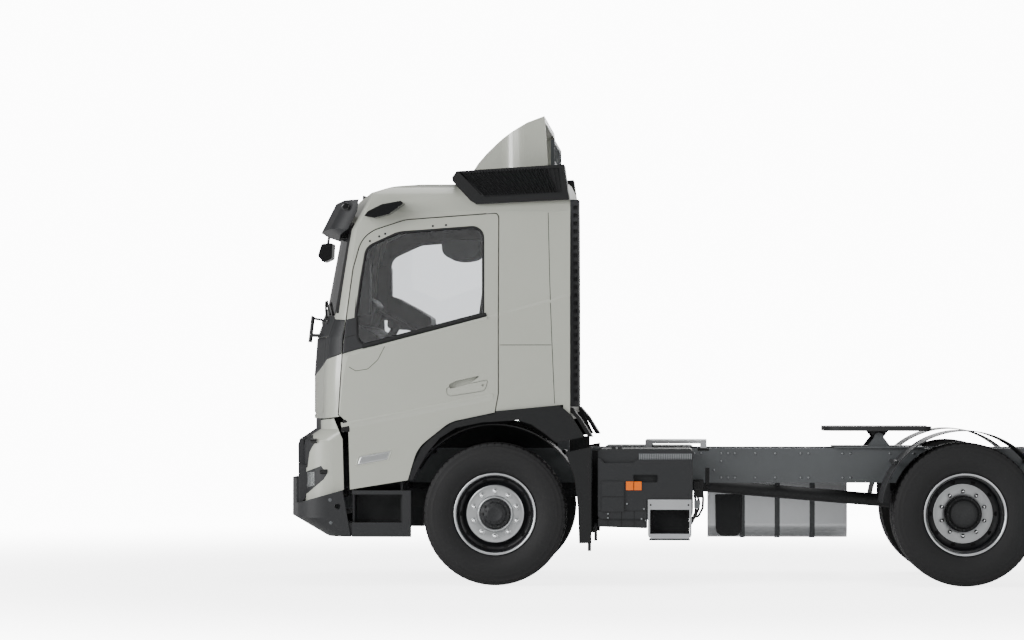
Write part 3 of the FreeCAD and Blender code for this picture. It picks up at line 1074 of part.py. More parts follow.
def make_rear_wheels():
    x = AXLE_R
    z = TYRE_R
    c = -REAR_TRACK_HALF
    inner = BEAD_R - RIM_WALL
    outer_c = c - TWIN_SPACING / 2
    inner_c = c + TWIN_SPACING / 2
    tyres = [make_tyre(REAR_TYRE_W, outer_c, x), make_tyre(REAR_TYRE_W, inner_c, x)]
    disc = across(inner, x, z, c - REAR_DISC_T, c + REAR_DISC_T)
    reach = TWIN_SPACING / 2 - REAR_TYRE_W * RIM_SEAT_share + FLANGE_T
    band = turned([(inner - RIM_WALL, c - reach, 0), (inner, c - reach, 0), (inner, c + reach, 0),
                   (inner - RIM_WALL, c + reach, 0)], x, 0, z)
    for px, pz in on_circle(VENT_CIRCLE_R, VENT_COUNT, x, z):
        disc = disc.cut(across(VENT_R, px, pz, c - CUT, c + CUT))
    hub = across(HUB_R, x, z, -REAR_HUB_OUTER, -REAR_HUB_INNER)
    bore = across(REAR_SPINDLE_R + BEARING_GAP, x, z, c - BEARING_GAP, -REAR_HUB_INNER + CUT)
    nuts = [across(NUT_R, px, pz, c - REAR_DISC_T - NUT_H, c) for px, pz in
            on_circle(NUT_CIRCLE_R, NUT_COUNT, x, z)]
    rims = fused([make_barrel(REAR_TYRE_W, outer_c, x), make_barrel(REAR_TYRE_W, inner_c, x), band, disc, hub]
                 + nuts).cut(bore)
    return Part.makeCompound(tyres), rims


def make_knuckle():
    x = AXLE_F
    y = -KINGPIN_HALF
    low = TYRE_R - BOSS_HEIGHT / 2 - LUG_GAP
    high = TYRE_R + BOSS_HEIGHT / 2 + LUG_GAP
    wall = -BRAKE_HALF
    lugs = []
    for z in (low - LUG_T, high):
        lugs.append(block(x - LUG_HALF_W, x + LUG_HALF_W, wall, y, z, z + LUG_T))
        lugs.append(rod(V(x, y, z), V(x, y, z + LUG_T), LUG_HALF_W))
    brake = across(BRAKE_R, x, TYRE_R, wall - BRAKE_T, wall)
    spindle = across(SPINDLE_R, x, TYRE_R, -SPINDLE_END, wall)
    z = low - LUG_T
    tip = x + STEER_ARM_LENGTH
    arm = block(x, tip, y - STEER_ARM_W / 2, y + STEER_ARM_W / 2, z, z + STEER_ARM_T)
    end = rod(V(tip, y, z), V(tip, y, z + STEER_ARM_T), STEER_ARM_W / 2)
    pin = rod(V(tip, y, z), V(tip, y, z + STEER_ARM_T + TIE_EYE_H), TIE_PIN_R)
    knuckle = fused(lugs + [brake, spindle, arm, end, pin])
    return knuckle.cut(rod(V(x, y, low - LUG_T - CUT), V(x, y, high + LUG_T + CUT), KINGPIN_R + PIN_GAP))


def make_tie_rod():
    x = AXLE_F + STEER_ARM_LENGTH
    z = TYRE_R - BOSS_HEIGHT / 2 - LUG_GAP - LUG_T + STEER_ARM_T + SEAT_GAP
    mid = z + TIE_EYE_H / 2
    bar = across(TIE_R, x, mid, -KINGPIN_HALF, KINGPIN_HALF)
    bar = bar.common(block(x - TIE_EYE_R, x + TIE_EYE_R, -KINGPIN_HALF, KINGPIN_HALF, z, z + TIE_EYE_H))
    eyes = [rod(V(x, y, z), V(x, y, z + TIE_EYE_H), TIE_EYE_R) for y in (-KINGPIN_HALF, KINGPIN_HALF)]
    bores = [rod(V(x, y, z - CUT), V(x, y, z + TIE_EYE_H + CUT), TIE_PIN_R + PIN_GAP)
             for y in (-KINGPIN_HALF, KINGPIN_HALF)]
    bar = fused([bar] + eyes)
    for bore in bores:
        bar = bar.cut(bore)
    return bar


def make_wheels():
    front_tyre, front_rim = make_front_wheel()
    rear_tyres, rear_rims = make_rear_wheels()
    knuckle = make_knuckle()
    return {"tyre_front_left": front_tyre, "tyre_front_right": mirrored(front_tyre),
            "rim_front_left": front_rim, "rim_front_right": mirrored(front_rim),
            "tyres_rear_left": rear_tyres, "tyres_rear_right": mirrored(rear_tyres),
            "rims_rear_left": rear_rims, "rims_rear_right": mirrored(rear_rims),
            "knuckle_left": knuckle, "knuckle_right": mirrored(knuckle), "tie_rod": make_tie_rod()}


# Cab outside

VISOR_X = AXLE_F - 1403.0
VISOR_LOW_Z = 2606.0
VISOR_HEIGHT = 293.0
VISOR_shares = [(0, 0.242), (0.302, 0.969), (1, 1), (0.971, 0.683), (0.807, 0.242), (0.551, 0)]
VISOR_LENGTH = 370.0
VISOR_BULGE = 165.0
VISOR_CORNER_R = 160.0
VISOR_HALF = 1085.0
VISOR_WALL = 16.0
VISOR_ARM_W = 40.0
VISOR_ARM_Z = 2775.0
VISOR_ARM_HALF = 700.0
VISOR_DEPTH = 555.0
VISOR_LINE_shares = [(0.308, 0), (0, 0.242), (0.292, 0.969), (0.297, 1)]
VENT_X = AXLE_F - 321.0
VENT_LENGTH = 878.0
VENT_LOW_Z = 2854.0
VENT_HEIGHT = 297.0
VENT_shares = [(0, 0.68), (0.039, 0.835), (0.957, 1), (1, 0.114), (0.207, 0), (0.156, 0.091), (0.005, 0.576)]
VENT_INNER_HALF = 900.0
VENT_OUTER_HALF = 1195.0
VENT_PANEL_shares = [(0.082, 0.768), (0.91, 0.912), (0.935, 0.296), (0.286, 0.182)]
VENT_PANEL_DEPTH = 14.0
VENT_SLATS = 22
VENT_SLAT_T = 9.0
VENT_SLAT_H = 8.0
SHELL_X = AXLE_F - 245.0
SHELL_LENGTH = 635.0
SHELL_LOW_Z = 3104.0
SHELL_HEIGHT = 424.0
SHELL_shares = [(0, 0.02), (0.123, 0.235), (0.246, 0.395), (0.391, 0.551), (0.575, 0.730), (0.759, 0.890), (0.958, 1),
                (0.969, 0.85), (1, 0.15), (0.96, 0)]
SHELL_HALF = 990.0
SHELL_WALL = 20.0
SHELL_BULGE = 330.0
SHELL_CORNER_R = 200.0
SHELL_CROWN_R = 900.0
FRAME_X = AXLE_F + 400.0
FRAME_TOP_Z = 3370.0
FRAME_BAR = 30.0
FRAME_HALF = 700.0
FRAME_STAYS_shares = (-1, -0.33, 0.33, 1)
CAMERA_X = AXLE_F - 968.0
CAMERA_LENGTH = 293.0
CAMERA_LOW_Z = 2747.0
CAMERA_HEIGHT = 127.0
CAMERA_shares = [(0, 0.12), (0.10, 0.40), (0.45, 0.80), (0.93, 1), (1, 0.86), (0.80, 0.50), (0.62, 0.22), (0.25, 0)]
CAMERA_INNER_HALF = 1000.0
CAMERA_OUTER_HALF = 1330.0
MIRROR_X = AXLE_F - 1514.0
MIRROR_LENGTH = 118.0
MIRROR_LOW_Z = 2479.0
MIRROR_HEIGHT = 158.0
MIRROR_shares = [(0, 0.35, 1), (0.25, 0.95, 1), (1, 1, 0.6), (0.95, 0.2, 1), (0.35, 0, 1)]
MIRROR_R = 22.0
MIRROR_INNER = 620.0
MIRROR_OUTER = 870.0
MIRROR_ARM_R = 11.0
MIRROR_ARM_TOP_Z = 2715.0
DUCT_LENGTH = 64.0
DUCT_LOW_Z = 1338.0
DUCT_TOP_Z = 2888.0
DUCT_INNER_HALF = 900.0
DUCT_OUTER_HALF = 1160.0
DUCT_SLATS = 26
DUCT_SLAT_DEPTH = 22.0
ARCH_X = AXLE_F - 648.0
ARCH_LENGTH = 1321.0
ARCH_LOW_Z = 789.0
ARCH_HEIGHT = 581.0
ARCH_INNER_HALF = 1200.0
ARCH_shares = [(-0.02, 0), (0.032, 0.2), (0.082, 0.430), (0.157, 0.600), (0.257, 0.743), (0.49, 0.98), (0.830, 1.02),
               (0.923, 0.842), (1, 0.560), (0.84, 0.482), (0.83, 0.50), (0.774, 0.601), (0.698, 0.718), (0.623, 0.771),
               (0.421, 0.744), (0.270, 0.671), (0.182, 0.544), (0.107, 0.344), (0.045, 0.084), (0.030, 0)]
ARCH_FLAP_X = AXLE_F + 540.0
ARCH_FLAP_LENGTH = 190.0
ARCH_FLAP_LOW_Z = 1112.0
ARCH_FLAP_HEIGHT = 225.0
ARCH_FLAP_shares = [(0, 1), (0.20, 0.96), (0.55, 0.62), (1, 0), (0.82, 0), (0.40, 0.60), (0.10, 0.86)]
ARCH_FLAP_HALF = 880.0


def make_outside(made):
    """Pieces that stand on the cab's skin, cut to it."""
    wide = HALF_WIDTH + CUT
    grown = cab_solid(-SEAT_GAP)
    visor_at = [(VISOR_X + u * VISOR_LENGTH, VISOR_LOW_Z + v * VISOR_HEIGHT) for u, v in VISOR_LINE_shares]
    forms = []
    for inset in (0, VISOR_WALL):
        plans = [bow_wire(x + inset, VISOR_X + VISOR_DEPTH, VISOR_HALF - inset, VISOR_BULGE,
                          VISOR_CORNER_R - inset, z) for x, z in visor_at]
        forms.append(Part.makeLoft(plans, True, True))
    side = side_plate(at(VISOR_shares, VISOR_X - CUT, VISOR_LOW_Z, VISOR_LENGTH + CUT, VISOR_HEIGHT), -wide, wide)
    visor = forms[0].cut(forms[1]).common(side)
    for y in (-VISOR_ARM_HALF, 0, VISOR_ARM_HALF):
        visor = visor.fuse(forms[0].common(block(VISOR_X, VISOR_X + VISOR_DEPTH, y - VISOR_ARM_W / 2,
                                                 y + VISOR_ARM_W / 2, VISOR_ARM_Z, VISOR_ARM_Z + VISOR_WALL)))
    visor = visor.cut(grown)
    vent = side_plate(at(VENT_shares, VENT_X, VENT_LOW_Z, VENT_LENGTH, VENT_HEIGHT), -VENT_OUTER_HALF,
                      -VENT_INNER_HALF)
    panel = side_plate(at(VENT_PANEL_shares, VENT_X, VENT_LOW_Z, VENT_LENGTH, VENT_HEIGHT),
                       -VENT_OUTER_HALF - CUT, -VENT_OUTER_HALF + VENT_PANEL_DEPTH)
    vent = vent.cut(panel)
    shares = VENT_PANEL_shares
    for i in range(VENT_SLATS):
        u = (i + 0.5) / VENT_SLATS
        low_u = shares[3][0] + u * (shares[2][0] - shares[3][0])
        low_v = shares[3][1] + u * (shares[2][1] - shares[3][1])
        high_u = shares[0][0] + u * (shares[1][0] - shares[0][0])
        high_v = shares[0][1] + u * (shares[1][1] - shares[0][1])
        a = V(VENT_X + low_u * VENT_LENGTH, 0, VENT_LOW_Z + low_v * VENT_HEIGHT)
        b = V(VENT_X + high_u * VENT_LENGTH, 0, VENT_LOW_Z + high_v * VENT_HEIGHT)
        slat = side_plate([corner(a.x, a.z), corner(a.x + VENT_SLAT_T, a.z), corner(b.x + VENT_SLAT_T, b.z),
                           corner(b.x, b.z)], -VENT_OUTER_HALF + VENT_PANEL_DEPTH - VENT_SLAT_H,
                          -VENT_OUTER_HALF + VENT_PANEL_DEPTH)
        vent = vent.fuse(slat)
    vent = vent.cut(grown)
    shell = side_plate(at(SHELL_shares, SHELL_X, SHELL_LOW_Z, SHELL_LENGTH, SHELL_HEIGHT), -SHELL_HALF, SHELL_HALF)
    plan = Part.Face(bow_wire(SHELL_X, SHELL_X + SHELL_LENGTH + CUT, SHELL_HALF, SHELL_BULGE, SHELL_CORNER_R,
                              SHELL_LOW_Z - CUT, SHELL_CROWN_R)).extrude(V(0, 0, SHELL_HEIGHT + CUT * 2))
    shell = shell.common(plan)
    hollow = shell.translated(V(SHELL_WALL, 0, 0)).common(shell.translated(V(0, 0, -SHELL_WALL)))
    hollow = hollow.common(shell.translated(V(SHELL_WALL, SHELL_WALL, -SHELL_WALL)))
    hollow = hollow.common(shell.translated(V(SHELL_WALL, -SHELL_WALL, -SHELL_WALL)))
    back = hollow.translated(V(SHELL_WALL * 3, 0, 0))
    shell = shell.cut(hollow).cut(back).cut(grown).cut(vent).cut(mirrored(vent))
    bars = [block(FRAME_X, FRAME_X + FRAME_BAR, -FRAME_HALF, FRAME_HALF, z - FRAME_BAR, z)
            for z in (FRAME_TOP_Z, (FRAME_TOP_Z + CAB_ROOF_Z) / 2)]
    for share in FRAME_STAYS_shares:
        y = share * (FRAME_HALF - FRAME_BAR / 2)
        bars.append(block(FRAME_X, FRAME_X + FRAME_BAR, y - FRAME_BAR / 2, y + FRAME_BAR / 2,
                          CAB_ROOF_Z - CUT, FRAME_TOP_Z))
    frame = fused(bars).cut(grown).cut(shell)
    camera = side_plate(at(CAMERA_shares, CAMERA_X, CAMERA_LOW_Z, CAMERA_LENGTH, CAMERA_HEIGHT),
                        -CAMERA_OUTER_HALF, -CAMERA_INNER_HALF).cut(grown)
    camera = camera.cut(door_outline(RUN_GAP))
    mirror = side_plate(at(MIRROR_shares, MIRROR_X, MIRROR_LOW_Z, MIRROR_LENGTH, MIRROR_HEIGHT, MIRROR_R),
                        MIRROR_INNER, MIRROR_OUTER)
    mid_y = (MIRROR_INNER + MIRROR_OUTER) / 2
    arm = rod(V(MIRROR_X + MIRROR_LENGTH / 2, mid_y, MIRROR_LOW_Z + MIRROR_HEIGHT / 2),
              V(MIRROR_X + MIRROR_LENGTH * 0.7, mid_y, MIRROR_ARM_TOP_Z), MIRROR_ARM_R)
    brace = rod(V(MIRROR_X + MIRROR_LENGTH * 0.7, mid_y, MIRROR_ARM_TOP_Z),
                V(MIRROR_X + MIRROR_LENGTH * 4, mid_y, MIRROR_ARM_TOP_Z + MIRROR_HEIGHT), MIRROR_ARM_R)
    mirror = fused([mirror, arm, brace]).cut(grown).cut(visor)
    mirror = max(mirror.Solids, key=lambda s: s.Volume)
    duct = block(CAB_X1, CAB_X1 + DUCT_LENGTH, -DUCT_OUTER_HALF, -DUCT_INNER_HALF, DUCT_LOW_Z, DUCT_TOP_Z)
    pitch = (DUCT_TOP_Z - DUCT_LOW_Z) / DUCT_SLATS
    for i in range(1, DUCT_SLATS):
        z = DUCT_LOW_Z + pitch * i
        duct = duct.cut(block(CAB_X1 + DUCT_SLAT_DEPTH, CAB_X1 + DUCT_LENGTH - DUCT_SLAT_DEPTH / 2,
                              -DUCT_OUTER_HALF - CUT, -DUCT_OUTER_HALF + DUCT_SLAT_DEPTH, z - pitch / 4,
                              z + pitch / 4))
    duct = duct.cut(cab_solid(0))
    arch = side_plate(at(ARCH_shares, ARCH_X, ARCH_LOW_Z, ARCH_LENGTH, ARCH_HEIGHT), -HALF_WIDTH, -ARCH_INNER_HALF)
    over = side_plate([corner(AXLE_F, SIDE_LOW_FRONT_Z), corner(CAB_X1 + CUT, SIDE_LOW_BACK_Z),
                       corner(CAB_X1 + CUT, EAVE_Z), corner(AXLE_F, EAVE_Z)], -wide, wide)
    arch = arch.cut(door_outline(RUN_GAP)).cut(made["cab_sides"]).cut(made["cab_back_wall"]).cut(over)
    flap = side_plate(at(ARCH_FLAP_shares, ARCH_FLAP_X, ARCH_FLAP_LOW_Z, ARCH_FLAP_LENGTH, ARCH_FLAP_HEIGHT),
                      -ARCH_INNER_HALF, -ARCH_FLAP_HALF)
    arch = max(arch.Solids, key=lambda s: s.Volume).fuse(flap.cut(made["cab_back_wall"]))
    return {"sun_visor": visor, "roof_vents": pair(vent), "roof_deflector": shell, "deflector_frame": frame,
            "camera_arms": pair(camera), "front_mirror": mirror, "intake_duct": duct, "wheel_arches": pair(arch)}


# Cab inside

SEAT_HALF = 560.0
SEAT_WIDTH = 500.0
SEAT_X = AXLE_F - 620.0
SEAT_LENGTH = 500.0
CUSHION_Z = 1640.0
CUSHION_T = 120.0
BACK_T = 120.0
BACK_H = 640.0
BACK_LEAN = 90.0
HEAD_H = 190.0
HEAD_W = 260.0
HEAD_GAP = 40.0
PEDESTAL_W = 320.0
PEDESTAL_LENGTH = 340.0
CUSHION_R = 40.0
BUNK_X = AXLE_F - 130.0
BUNK_LOW_Z = 1560.0
BUNK_BASE_T = 50.0
MATTRESS_T = 110.0
MATTRESS_R = 35.0
BUNK_HALF = 1060.0
BUNK_GAP = 12.0
DASH_X = AXLE_F - 1214.0
DASH_LENGTH = 374.0
DASH_LOW_Z = 1560.0
DASH_HEIGHT = 400.0
DASH_HALF = 1050.0
DASH_shares = [(0, 0.45), (0.25, 0), (0.9, 0.1), (1, 0.55), (0.80, 0.82), (0.45, 1), (0, 0.98)]
WHEEL_R = 225.0
WHEEL_RIM_R = 16.0
WHEEL_X = AXLE_F - 770.0
WHEEL_Z = 1985.0
WHEEL_TILT_share = 0.344
WHEEL_HUB_R = 70.0
WHEEL_HUB_H = 45.0
SPOKE_R = 13.0
COLUMN_R = 32.0
COLUMN_LENGTH = 260.0


def make_inside(made):
    floor = CAB_LOW_Z + FLOOR_T
    y0 = -SEAT_HALF - SEAT_WIDTH / 2
    y1 = -SEAT_HALF + SEAT_WIDTH / 2
    top = CUSHION_Z + CUSHION_T
    back_x = SEAT_X + SEAT_LENGTH
    pedestal = block(SEAT_X + CUT, SEAT_X + CUT + PEDESTAL_LENGTH, -SEAT_HALF - PEDESTAL_W / 2,
                     -SEAT_HALF + PEDESTAL_W / 2, floor, CUSHION_Z)
    cushion = side_plate([corner(SEAT_X, CUSHION_Z, CUSHION_R), corner(back_x, CUSHION_Z),
                          corner(back_x, top), corner(SEAT_X, top, CUSHION_R)], y0, y1)
    back = side_plate([corner(back_x - BACK_T / 2, top), corner(back_x + BACK_T / 2, top),
                       corner(back_x + BACK_T / 2 + BACK_LEAN, top + BACK_H, CUSHION_R),
                       corner(back_x - BACK_T / 2 + BACK_LEAN, top + BACK_H, CUSHION_R)], y0, y1)
    head_z = top + BACK_H + HEAD_GAP
    head = side_plate([corner(back_x - BACK_T / 2 + BACK_LEAN, head_z, CUSHION_R),
                       corner(back_x + BACK_T / 4 + BACK_LEAN, head_z, CUSHION_R),
                       corner(back_x + BACK_T / 4 + BACK_LEAN, head_z + HEAD_H, CUSHION_R),
                       corner(back_x - BACK_T / 2 + BACK_LEAN, head_z + HEAD_H, CUSHION_R)],
                      -SEAT_HALF - HEAD_W / 2, -SEAT_HALF + HEAD_W / 2)
    posts = [rod(V(back_x + BACK_LEAN, y, top + BACK_H - CUT), V(back_x + BACK_LEAN, y, head_z + CUT), SPOKE_R / 2)
             for y in (-SEAT_HALF - HEAD_W / 4, -SEAT_HALF + HEAD_W / 4)]
    seat = fused([pedestal, cushion, back, head] + posts)
    inner_back = CAB_X1 - CAB_WALL
    room = cab_solid(CAB_WALL + SEAT_GAP)
    base = block(BUNK_X, inner_back, -BUNK_HALF, BUNK_HALF, BUNK_LOW_Z, BUNK_LOW_Z + BUNK_BASE_T)
    for y in (-BUNK_HALF + BUNK_BASE_T, BUNK_HALF - BUNK_BASE_T * 2):
        base = base.fuse(block(BUNK_X + CUT, inner_back, y, y + BUNK_BASE_T, floor, BUNK_LOW_Z))
    z = BUNK_LOW_Z + BUNK_BASE_T
    mattress = side_plate([corner(BUNK_X + BUNK_GAP, z, MATTRESS_R), corner(inner_back - BUNK_GAP, z, MATTRESS_R),
                           corner(inner_back - BUNK_GAP, z + MATTRESS_T, MATTRESS_R),
                           corner(BUNK_X + BUNK_GAP, z + MATTRESS_T, MATTRESS_R)],
                          -BUNK_HALF + BUNK_GAP, BUNK_HALF - BUNK_GAP)
    dash = side_plate(at(DASH_shares, DASH_X, DASH_LOW_Z, DASH_LENGTH, DASH_HEIGHT), -DASH_HALF, DASH_HALF)
    dash = dash.common(room).cut(made["cab_front"])
    tilt = WHEEL_TILT_share * math.pi
    axis = V(-math.cos(tilt), 0, -math.sin(tilt))
    centre = V(WHEEL_X, -SEAT_HALF, WHEEL_Z)
    rim = Part.makeTorus(WHEEL_R, WHEEL_RIM_R, centre, axis)
    hub = rod(centre - axis * (WHEEL_HUB_H / 2), centre + axis * (WHEEL_HUB_H / 2), WHEEL_HUB_R)
    right = V(0, 1, 0)
    down = right.cross(axis)
    spokes = [rod(centre, centre + way * WHEEL_R, SPOKE_R) for way in (right, right * -1, down, down * -1)
              if way.z < WHEEL_RIM_R]
    column = rod(centre, centre + axis * COLUMN_LENGTH, COLUMN_R)
    wheel = fused([rim, hub, column] + spokes).cut(made["cab_front"]).cut(dash)
    wheel = max(wheel.Solids, key=lambda s: s.Volume)
    return {"seats": pair(seat), "bunk": base, "mattress": mattress, "dashboard": dash, "steering_wheel": wheel}


def main():
    os.makedirs("parts", exist_ok=True)
    outer = cab_solid(0)
    inner = cab_solid(CAB_WALL)
    thin = cab_solid(SKIRT_WALL)
    pane_out = cab_solid(GLASS_INSET)
    pane_in = cab_solid(GLASS_INSET + GLASS)
    made = make_cab(outer, inner, pane_out, pane_in)
    door, glass = make_doors(outer, inner, thin, pane_out, pane_in)
    made.update({"door_left": door, "door_right": mirrored(door), "door_left_glass": glass,
                 "door_right_glass": mirrored(glass)})
    frame, arm = make_frame()
    made.update(frame)
    made["cab_tilt_arms"] = pair(arm)
    made.update(make_drive())
    made.update(make_springs())
    made.update(make_front())
    made["crossmembers"] = Part.makeCompound(made["crossmembers"].Solids + [made.pop("bumper_beam")])
    made.update(make_steps())
    made.update(make_boxes())
    made.update(make_coupling())
    made.update(make_wheels())
    made.update(make_outside(made))
    made.update(make_inside(made))
    for name, shape in made.items():
        shape = solids(shape)
        print(name, shape.isValid(), len(shape.Solids), round(shape.Volume / 1e6, 1))
        shape.exportStep("parts/" + name + ".step")


main()
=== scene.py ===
import json
import math
import bpy
import numpy as np
from mathutils import Matrix, Vector


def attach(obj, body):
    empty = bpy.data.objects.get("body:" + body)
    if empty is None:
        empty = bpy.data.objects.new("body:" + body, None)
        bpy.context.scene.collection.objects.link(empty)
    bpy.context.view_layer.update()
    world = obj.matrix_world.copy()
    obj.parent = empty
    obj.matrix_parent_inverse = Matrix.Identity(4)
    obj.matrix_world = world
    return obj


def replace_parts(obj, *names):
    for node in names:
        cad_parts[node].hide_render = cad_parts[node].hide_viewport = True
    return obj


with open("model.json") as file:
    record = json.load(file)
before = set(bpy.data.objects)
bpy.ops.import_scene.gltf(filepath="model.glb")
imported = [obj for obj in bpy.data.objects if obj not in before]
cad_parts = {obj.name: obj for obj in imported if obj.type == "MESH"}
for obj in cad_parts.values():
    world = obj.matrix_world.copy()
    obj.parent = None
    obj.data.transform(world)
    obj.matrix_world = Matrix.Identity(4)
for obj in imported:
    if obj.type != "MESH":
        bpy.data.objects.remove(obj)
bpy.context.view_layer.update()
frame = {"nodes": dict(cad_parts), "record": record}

# Places of the axles along X and radius of the tyres, as in the part's source, in metres
AXLE_F = -1.3435
AXLE_R = 2.1565
TYRE_R = 0.536
SIDES = (("left", -1), ("right", 1))

# Size in mm of the slow change in tone, and how smooth a clear coat is
BLOTCH_MM = 300.0
COAT_ROUGHNESS = 0.08
LEAST_ROUGHNESS = 0.02


def srgb(text):
    """Linear colour from sRGB hex: c/12.92 below 0.04045, else ((c + 0.055)/1.055)^2.4."""
    out = []
    for i in (0, 2, 4):
        c = int(text[i:i + 2], 16) / 255
        out.append(c / 12.92 if c <= 0.04045 else ((c + 0.055) / 1.055) ** 2.4)
    return out + [1.0]


def feed(tree, target, inputs):
    """Fills the inputs of a node: a socket is linked, and any other value is written."""
    for key, value in inputs.items():
        if isinstance(value, bpy.types.NodeSocket):
            tree.links.new(value, target.inputs[key])
        else:
            target.inputs[key].default_value = value


def node(tree, kind, inputs, **settings):
    """Adds a node with its settings, values and links, and gives its outputs."""
    made = tree.nodes.new("ShaderNode" + kind)
    for key, value in settings.items():
        setattr(made, key, value)
    feed(tree, made, inputs)
    return made.outputs


def material(name, colour, roughness, metallic=0.0, ior=1.45, specular=0.5, coat=0.0, transmission=0.0,
             grain=None, tint=0.0):
    """Principled surface. grain is the bump's cell and depth in mm, tint the slow change in tone."""
    made = bpy.data.materials.new(name)
    made.use_nodes = True
    tree = made.node_tree
    shader = tree.nodes["Principled BSDF"]
    feed(tree, shader, {
        "Base Color": srgb(colour), "Roughness": roughness, "Metallic": metallic, "IOR": ior,
        "Specular IOR Level": specular, "Coat Weight": coat, "Coat Roughness": COAT_ROUGHNESS,
        "Transmission Weight": transmission})
    place = node(tree, "TexCoord", {})["Object"]
    if tint:
        slow = node(tree, "TexNoise", {"Scale": 1000.0 / BLOTCH_MM, "Detail": 4.0, "Vector": place})["Fac"]
        shade = node(tree, "MapRange", {"To Min": 1.0 - tint, "To Max": 1.0 + tint, "Value": slow})
        mix = node(tree, "Mix", {"Factor": 1.0, "A": srgb(colour), "B": shade["Result"]}, data_type="RGBA",
                   blend_type="MULTIPLY")
        rough = node(tree, "MapRange", {"To Min": max(roughness - tint, LEAST_ROUGHNESS),
                                        "To Max": roughness + tint, "Value": slow})
        feed(tree, shader, {"Base Color": mix["Result"], "Roughness": rough["Result"]})
    if grain:
        cell, depth = grain
        fine = node(tree, "TexNoise", {"Scale": 1000.0 / cell, "Detail": 2.0, "Vector": place})["Fac"]
        bump = node(tree, "Bump", {"Strength": 1.0, "Distance": depth / 1000.0, "Height": fine})
        feed(tree, shader, {"Normal": bump["Normal"]})
    return made


# Acrylic lacquer over steel and moulded panels, with a faint orange peel
LACQUER = material("Warm grey acrylic lacquer", "999b92", 0.32, ior=1.5, coat=0.5, grain=(2.5, 0.02),
                   tint=0.02)
# Mass-coloured polypropylene with a fine leather grain
PLASTIC = material("Black grained polypropylene", "1a1b1d", 0.55, ior=1.49, specular=0.35, grain=(1.2, 0.12),
                   tint=0.06)
# Smooth moulded ABS that mirrors the light in a soft streak
GLOSS_BLACK = material("Gloss black ABS", "0b0c0d", 0.18, ior=1.53, specular=0.4, tint=0.02)
# Tempered float glass, slightly grey
GLASS = material("Grey tinted safety glass", "eceef0", 0.02, ior=1.5, specular=0.05, transmission=1.0)
# Laminated windshield, its near-black tint painted shade for the dark cab seen through it in a raking view
SHIELD = material("Laminated glass with painted shade", "1b1d1f", 0.02, ior=1.5, specular=0.05, transmission=1.0)
# Injection moulded lamp covers
LENS = material("Clear polycarbonate", "e6eaea", 0.03, ior=1.58, transmission=0.9)
# Primer and chassis enamel, sprayed
CHASSIS = material("Dark grey chassis enamel", "484b4d", 0.45, ior=1.5, specular=0.4, grain=(3.0, 0.05),
                   tint=0.08)
# Sand-cast iron under paint, with a coarse skin
IRON = material("Painted cast iron", "232425", 0.62, metallic=0.3, ior=1.5, grain=(2.0, 0.35), tint=0.12)
# Rolled and extruded aluminium with a satin surface
ALUMINIUM = material("Satin aluminium", "b9bbbd", 0.34, metallic=1.0, grain=(0.8, 0.02), tint=0.06)
# Vulcanised tyre rubber, slightly greyed
RUBBER = material("Tyre rubber", "111112", 0.7, ior=1.52, specular=0.3, grain=(1.5, 0.1), tint=0.08)
# Pressed steel disc with a silver lacquer
DISC = material("Silver painted steel", "a9abac", 0.32, metallic=0.85, grain=(1.5, 0.02), tint=0.04)
# Pressed steel with a black dip coat
DARK_RIM = material("Black painted steel", "17181a", 0.38, metallic=0.2, tint=0.06)
# Polished and plated steel
CHROME = material("Chromed steel", "dfe1e2", 0.08, metallic=1.0)
# Woven seat cloth, dull
FABRIC = material("Charcoal woven polyester", "1f2023", 0.9, specular=0.2, grain=(0.9, 0.25), tint=0.08)
# Slush-moulded trim with a fine grain, its near-black tone partly its own dark colour and partly painted
# shade of the cab's inside
TRIM = material("Slush-moulded trim with painted shade", "0d0e0f", 0.6, specular=0.3, grain=(1.0, 0.08), tint=0.04)
# Knitted cloth over foam, dull and light
HEADLINER = material("Grey knitted headliner", "5a5c5e", 0.9, specular=0.2, grain=(1.5, 0.1), tint=0.04)
# Unpainted black panels that stay very dark in the light
MATT_BLACK = material("Black mass-coloured ABS", "0c0d0e", 0.6, ior=1.53, specular=0.25, grain=(1.4, 0.1),
                      tint=0.05)
# Bolts and nuts with a dull zinc coat
ZINC = material("Zinc plated steel", "7c7f81", 0.45, metallic=0.7, tint=0.05)
# Moulded lamp and reflector colours
RED_LENS = material("Red acrylic", "8c1216", 0.12, ior=1.49, tint=0.02)
AMBER = material("Amber acrylic", "d4640a", 0.14, ior=1.49, tint=0.02)
# Flat black as painted shade for the unlit depth behind openings, holes, gaps and backings; also the dark
# panel seams
SHADE_AND_SEAM_BLACK = material("Painted shade and seam black", "060607", 0.9)
# Matt white floor of the studio
FLOOR = material("Pale studio floor", "fbfbfb", 0.9)

FINISH = {
    "body_paint": LACQUER, "dark_plastic": PLASTIC, "clear_glass": GLASS, "lamp_glass": LENS,
    "chassis_paint": CHASSIS, "cast_parts": IRON, "aluminium": ALUMINIUM, "tyre_rubber": RUBBER,
    "wheel_steel": DISC, "seat_fabric": FABRIC, "cab_trim": TRIM, "tail_lens": RED_LENS,
    "strap_steel": CHASSIS}
# Nodes whose look is finer than their slot
OWN = {"windshield": SHIELD, "camera_arms": GLOSS_BLACK, "front_mirror": GLOSS_BLACK,
       "roof_vents": MATT_BLACK, "wheel_arches": MATT_BLACK, "front_mudguards": MATT_BLACK}


def piece(name, data, mat, body):
    """Object with this mesh and finish, riding a body."""
    obj = bpy.data.objects.new(name.replace(" ", "_"), data)
    bpy.context.collection.objects.link(obj)
    data.materials.append(mat)
    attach(obj, body)
    return obj


